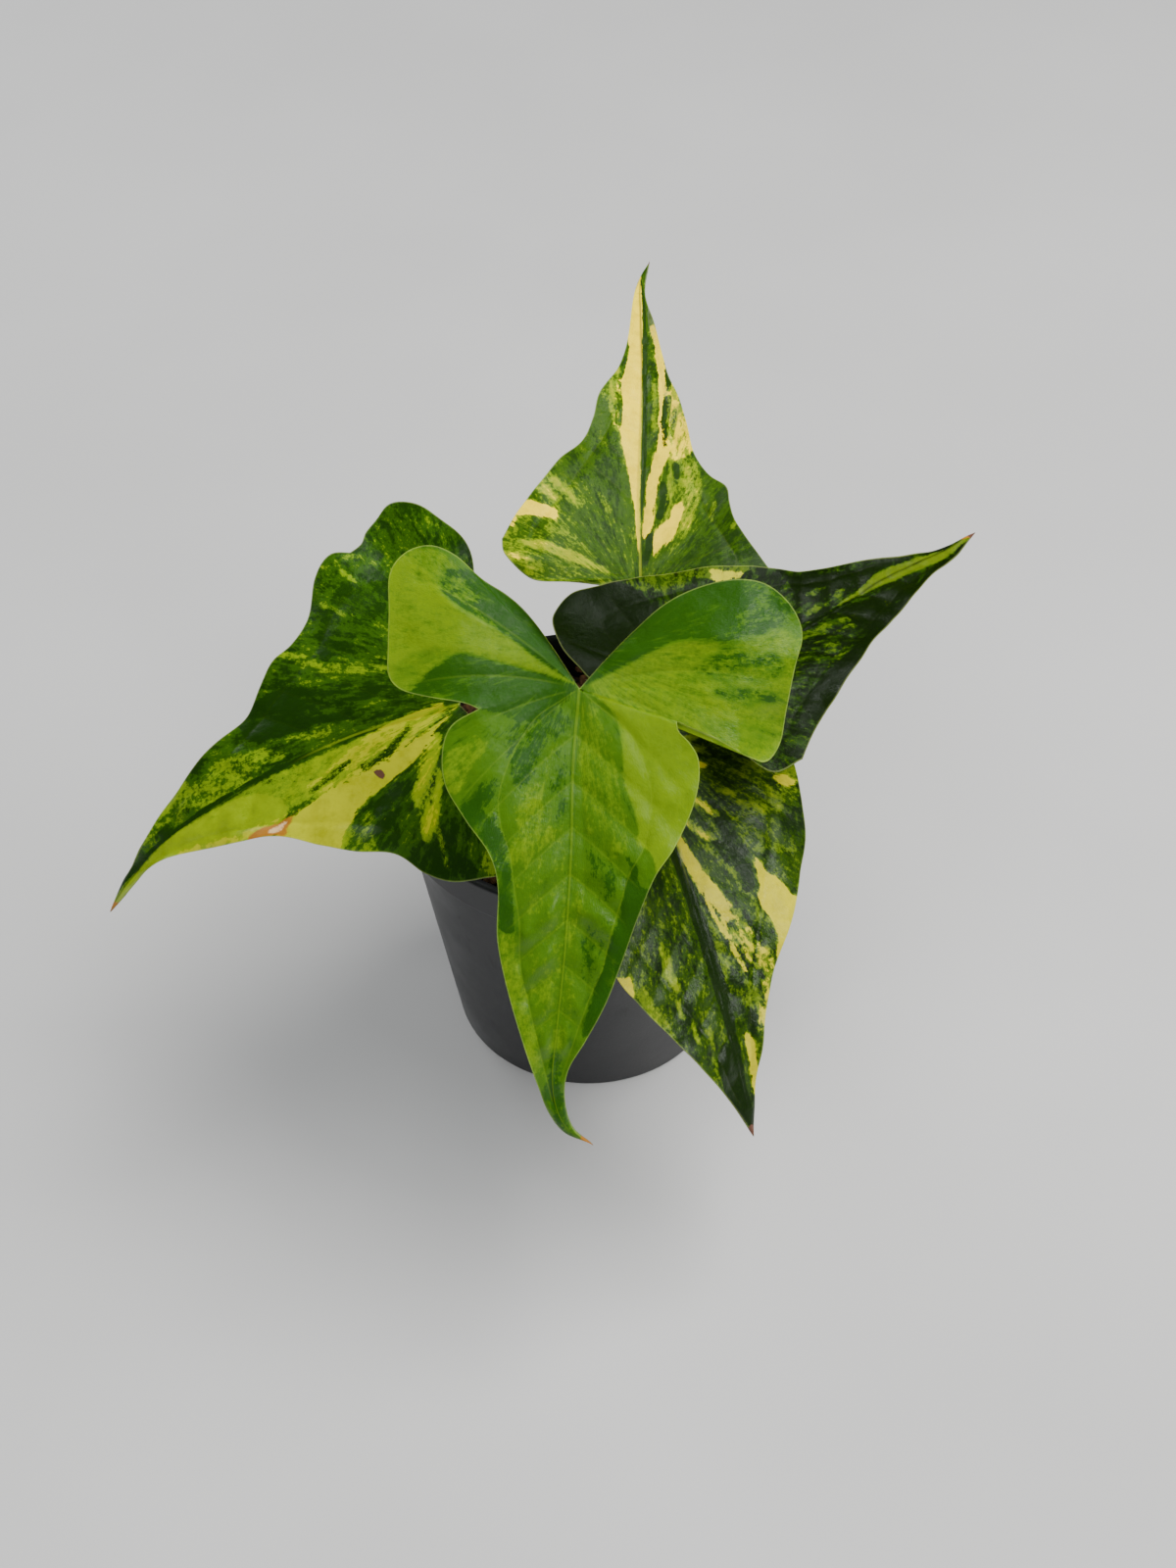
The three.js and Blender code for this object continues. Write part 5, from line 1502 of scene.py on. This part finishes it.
def build_pot():
    ledge = POT_HEIGHT - POT_RIM_HEIGHT
    lip = POT_RIM_RADIUS - POT_RIM_WALL
    corners = [
        (0, 0), (POT_BASE_RADIUS, 0), (POT_TOP_RADIUS, ledge),
        (POT_RIM_RADIUS - POT_RIM_DRAFT, ledge + POT_RIM_LIFT), (POT_RIM_RADIUS, POT_HEIGHT),
        (lip, POT_HEIGHT), (lip - POT_RIM_STEP, ledge + POT_RIM_WALL),
        (inner_radius(ledge), ledge - POT_RIM_STEP), (inner_radius(POT_FLOOR), POT_FLOOR),
        (0, POT_FLOOR),
    ]
    points, faces = lathe(rounded_profile(corners, POT_ROUNDING), POT_SIDES)
    mesh = new_mesh("nursery_pot", points, faces)
    weld(mesh)
    piece = new_piece("nursery_pot", mesh, "pot")
    drill_points = []
    drill_faces = []
    for i in range(DRAIN_COUNT):
        turn = 2 * math.pi * (i + 0.5) / DRAIN_COUNT
        centre = (DRAIN_CIRCLE * math.cos(turn), DRAIN_CIRCLE * math.sin(turn), 0)
        path = np.array([(0, 0, -2), (0, 0, POT_FLOOR / 2), (0, 0, POT_FLOOR + 2)]) + centre
        more, more_faces = tube(path, [DRAIN_RADIUS] * 3, DRAIN_SIDES, sum(len(p) for p in drill_points))
        drill_points.append(more)
        drill_faces += more_faces
    drill = new_object("drill", new_mesh("drill", np.vstack(drill_points), drill_faces))
    cut = piece.modifiers.new("drain", "BOOLEAN")
    cut.operation = "DIFFERENCE"
    cut.solver = "EXACT"
    cut.object = drill
    mesh = apply_modifiers(piece)
    bpy.data.objects.remove(drill)
    mesh.materials.clear()
    mesh.materials.append(pot_material())


def pot_material():
    n = Nodes("nursery_pot")
    place = n.place()
    satin = n.noise(place, 1500, 4, 0.7)
    cloud = n.noise(place, 45, 4, 0.6)
    dust = n.noise(n.stretch(place, (1, 1, 0.35)), 130, 5, 0.7)
    colour = n.mix(n.step(cloud, 0.35, 0.7), (0.010, 0.0105, 0.012), (0.019, 0.0195, 0.021))
    colour = n.mix(n.step(dust, 0.62, 0.8, 0.0, 0.35), colour, (0.07, 0.065, 0.06))
    rough = n.math("ADD", n.step(cloud, 0.3, 0.7, 0.36, 0.48), n.step(dust, 0.6, 0.8, 0.0, 0.2))
    normal = n.bump(satin, 0.00006, 0.6)
    return n.finish(colour, rough, normal)


def floor_material():
    n = Nodes("pale_floor")
    cloud = n.noise(n.place(), 6, 3, 0.5)
    colour = n.mix(n.step(cloud, 0.3, 0.7), (0.47, 0.47, 0.465), (0.50, 0.50, 0.495))
    return n.finish(colour, 0.75)


def add_light(name, place, size, power, colour, shiny):
    data = bpy.data.lights.new(name, "AREA")
    data.shape = "RECTANGLE"
    data.size, data.size_y = size, size
    data.energy = power
    data.color = colour
    light = new_object(name, data)
    light.location = place
    light.visible_glossy = shiny
    aim = Vector(LIGHT_TARGET) - Vector(place)
    light.rotation_euler = aim.to_track_quat("-Z", "Y").to_euler()


def build_stage():
    half = FLOOR_HALF
    mesh = new_mesh("floor", [(-half, -half, 0), (half, -half, 0), (half, half, 0), (-half, half, 0)],
                    [(0, 1, 2, 3)])
    floor = new_object("floor", mesh)
    mesh.materials.append(floor_material())
    world = bpy.data.worlds.new("studio")
    world.use_nodes = True
    background = world.node_tree.nodes["Background"]
    background.inputs["Color"].default_value = WORLD_COLOUR
    background.inputs["Strength"].default_value = WORLD_STRENGTH
    world.cycles_visibility.glossy = False
    bpy.context.scene.world = world
    for light in LIGHTS:
        add_light(*light)


def build_camera():
    data = bpy.data.cameras.new("camera")
    data.lens = CAMERA_LENS
    data.sensor_width = CAMERA_SENSOR
    data.sensor_fit = "AUTO"
    camera = new_object("camera", data)
    tilt = math.radians(CAMERA_ELEVATION)
    away = Vector((0, -math.cos(tilt), math.sin(tilt))) * CAMERA_DISTANCE
    camera.location = Vector(CAMERA_TARGET) + away
    camera.rotation_euler = (math.pi / 2 - tilt, 0, 0)
    bpy.context.scene.camera = camera


build_camera()
build_stage()
for leaf_name in LEAVES:
    build_blade(leaf_name)
    build_stalk(leaf_name)
build_crown()
build_mix()
build_pot()
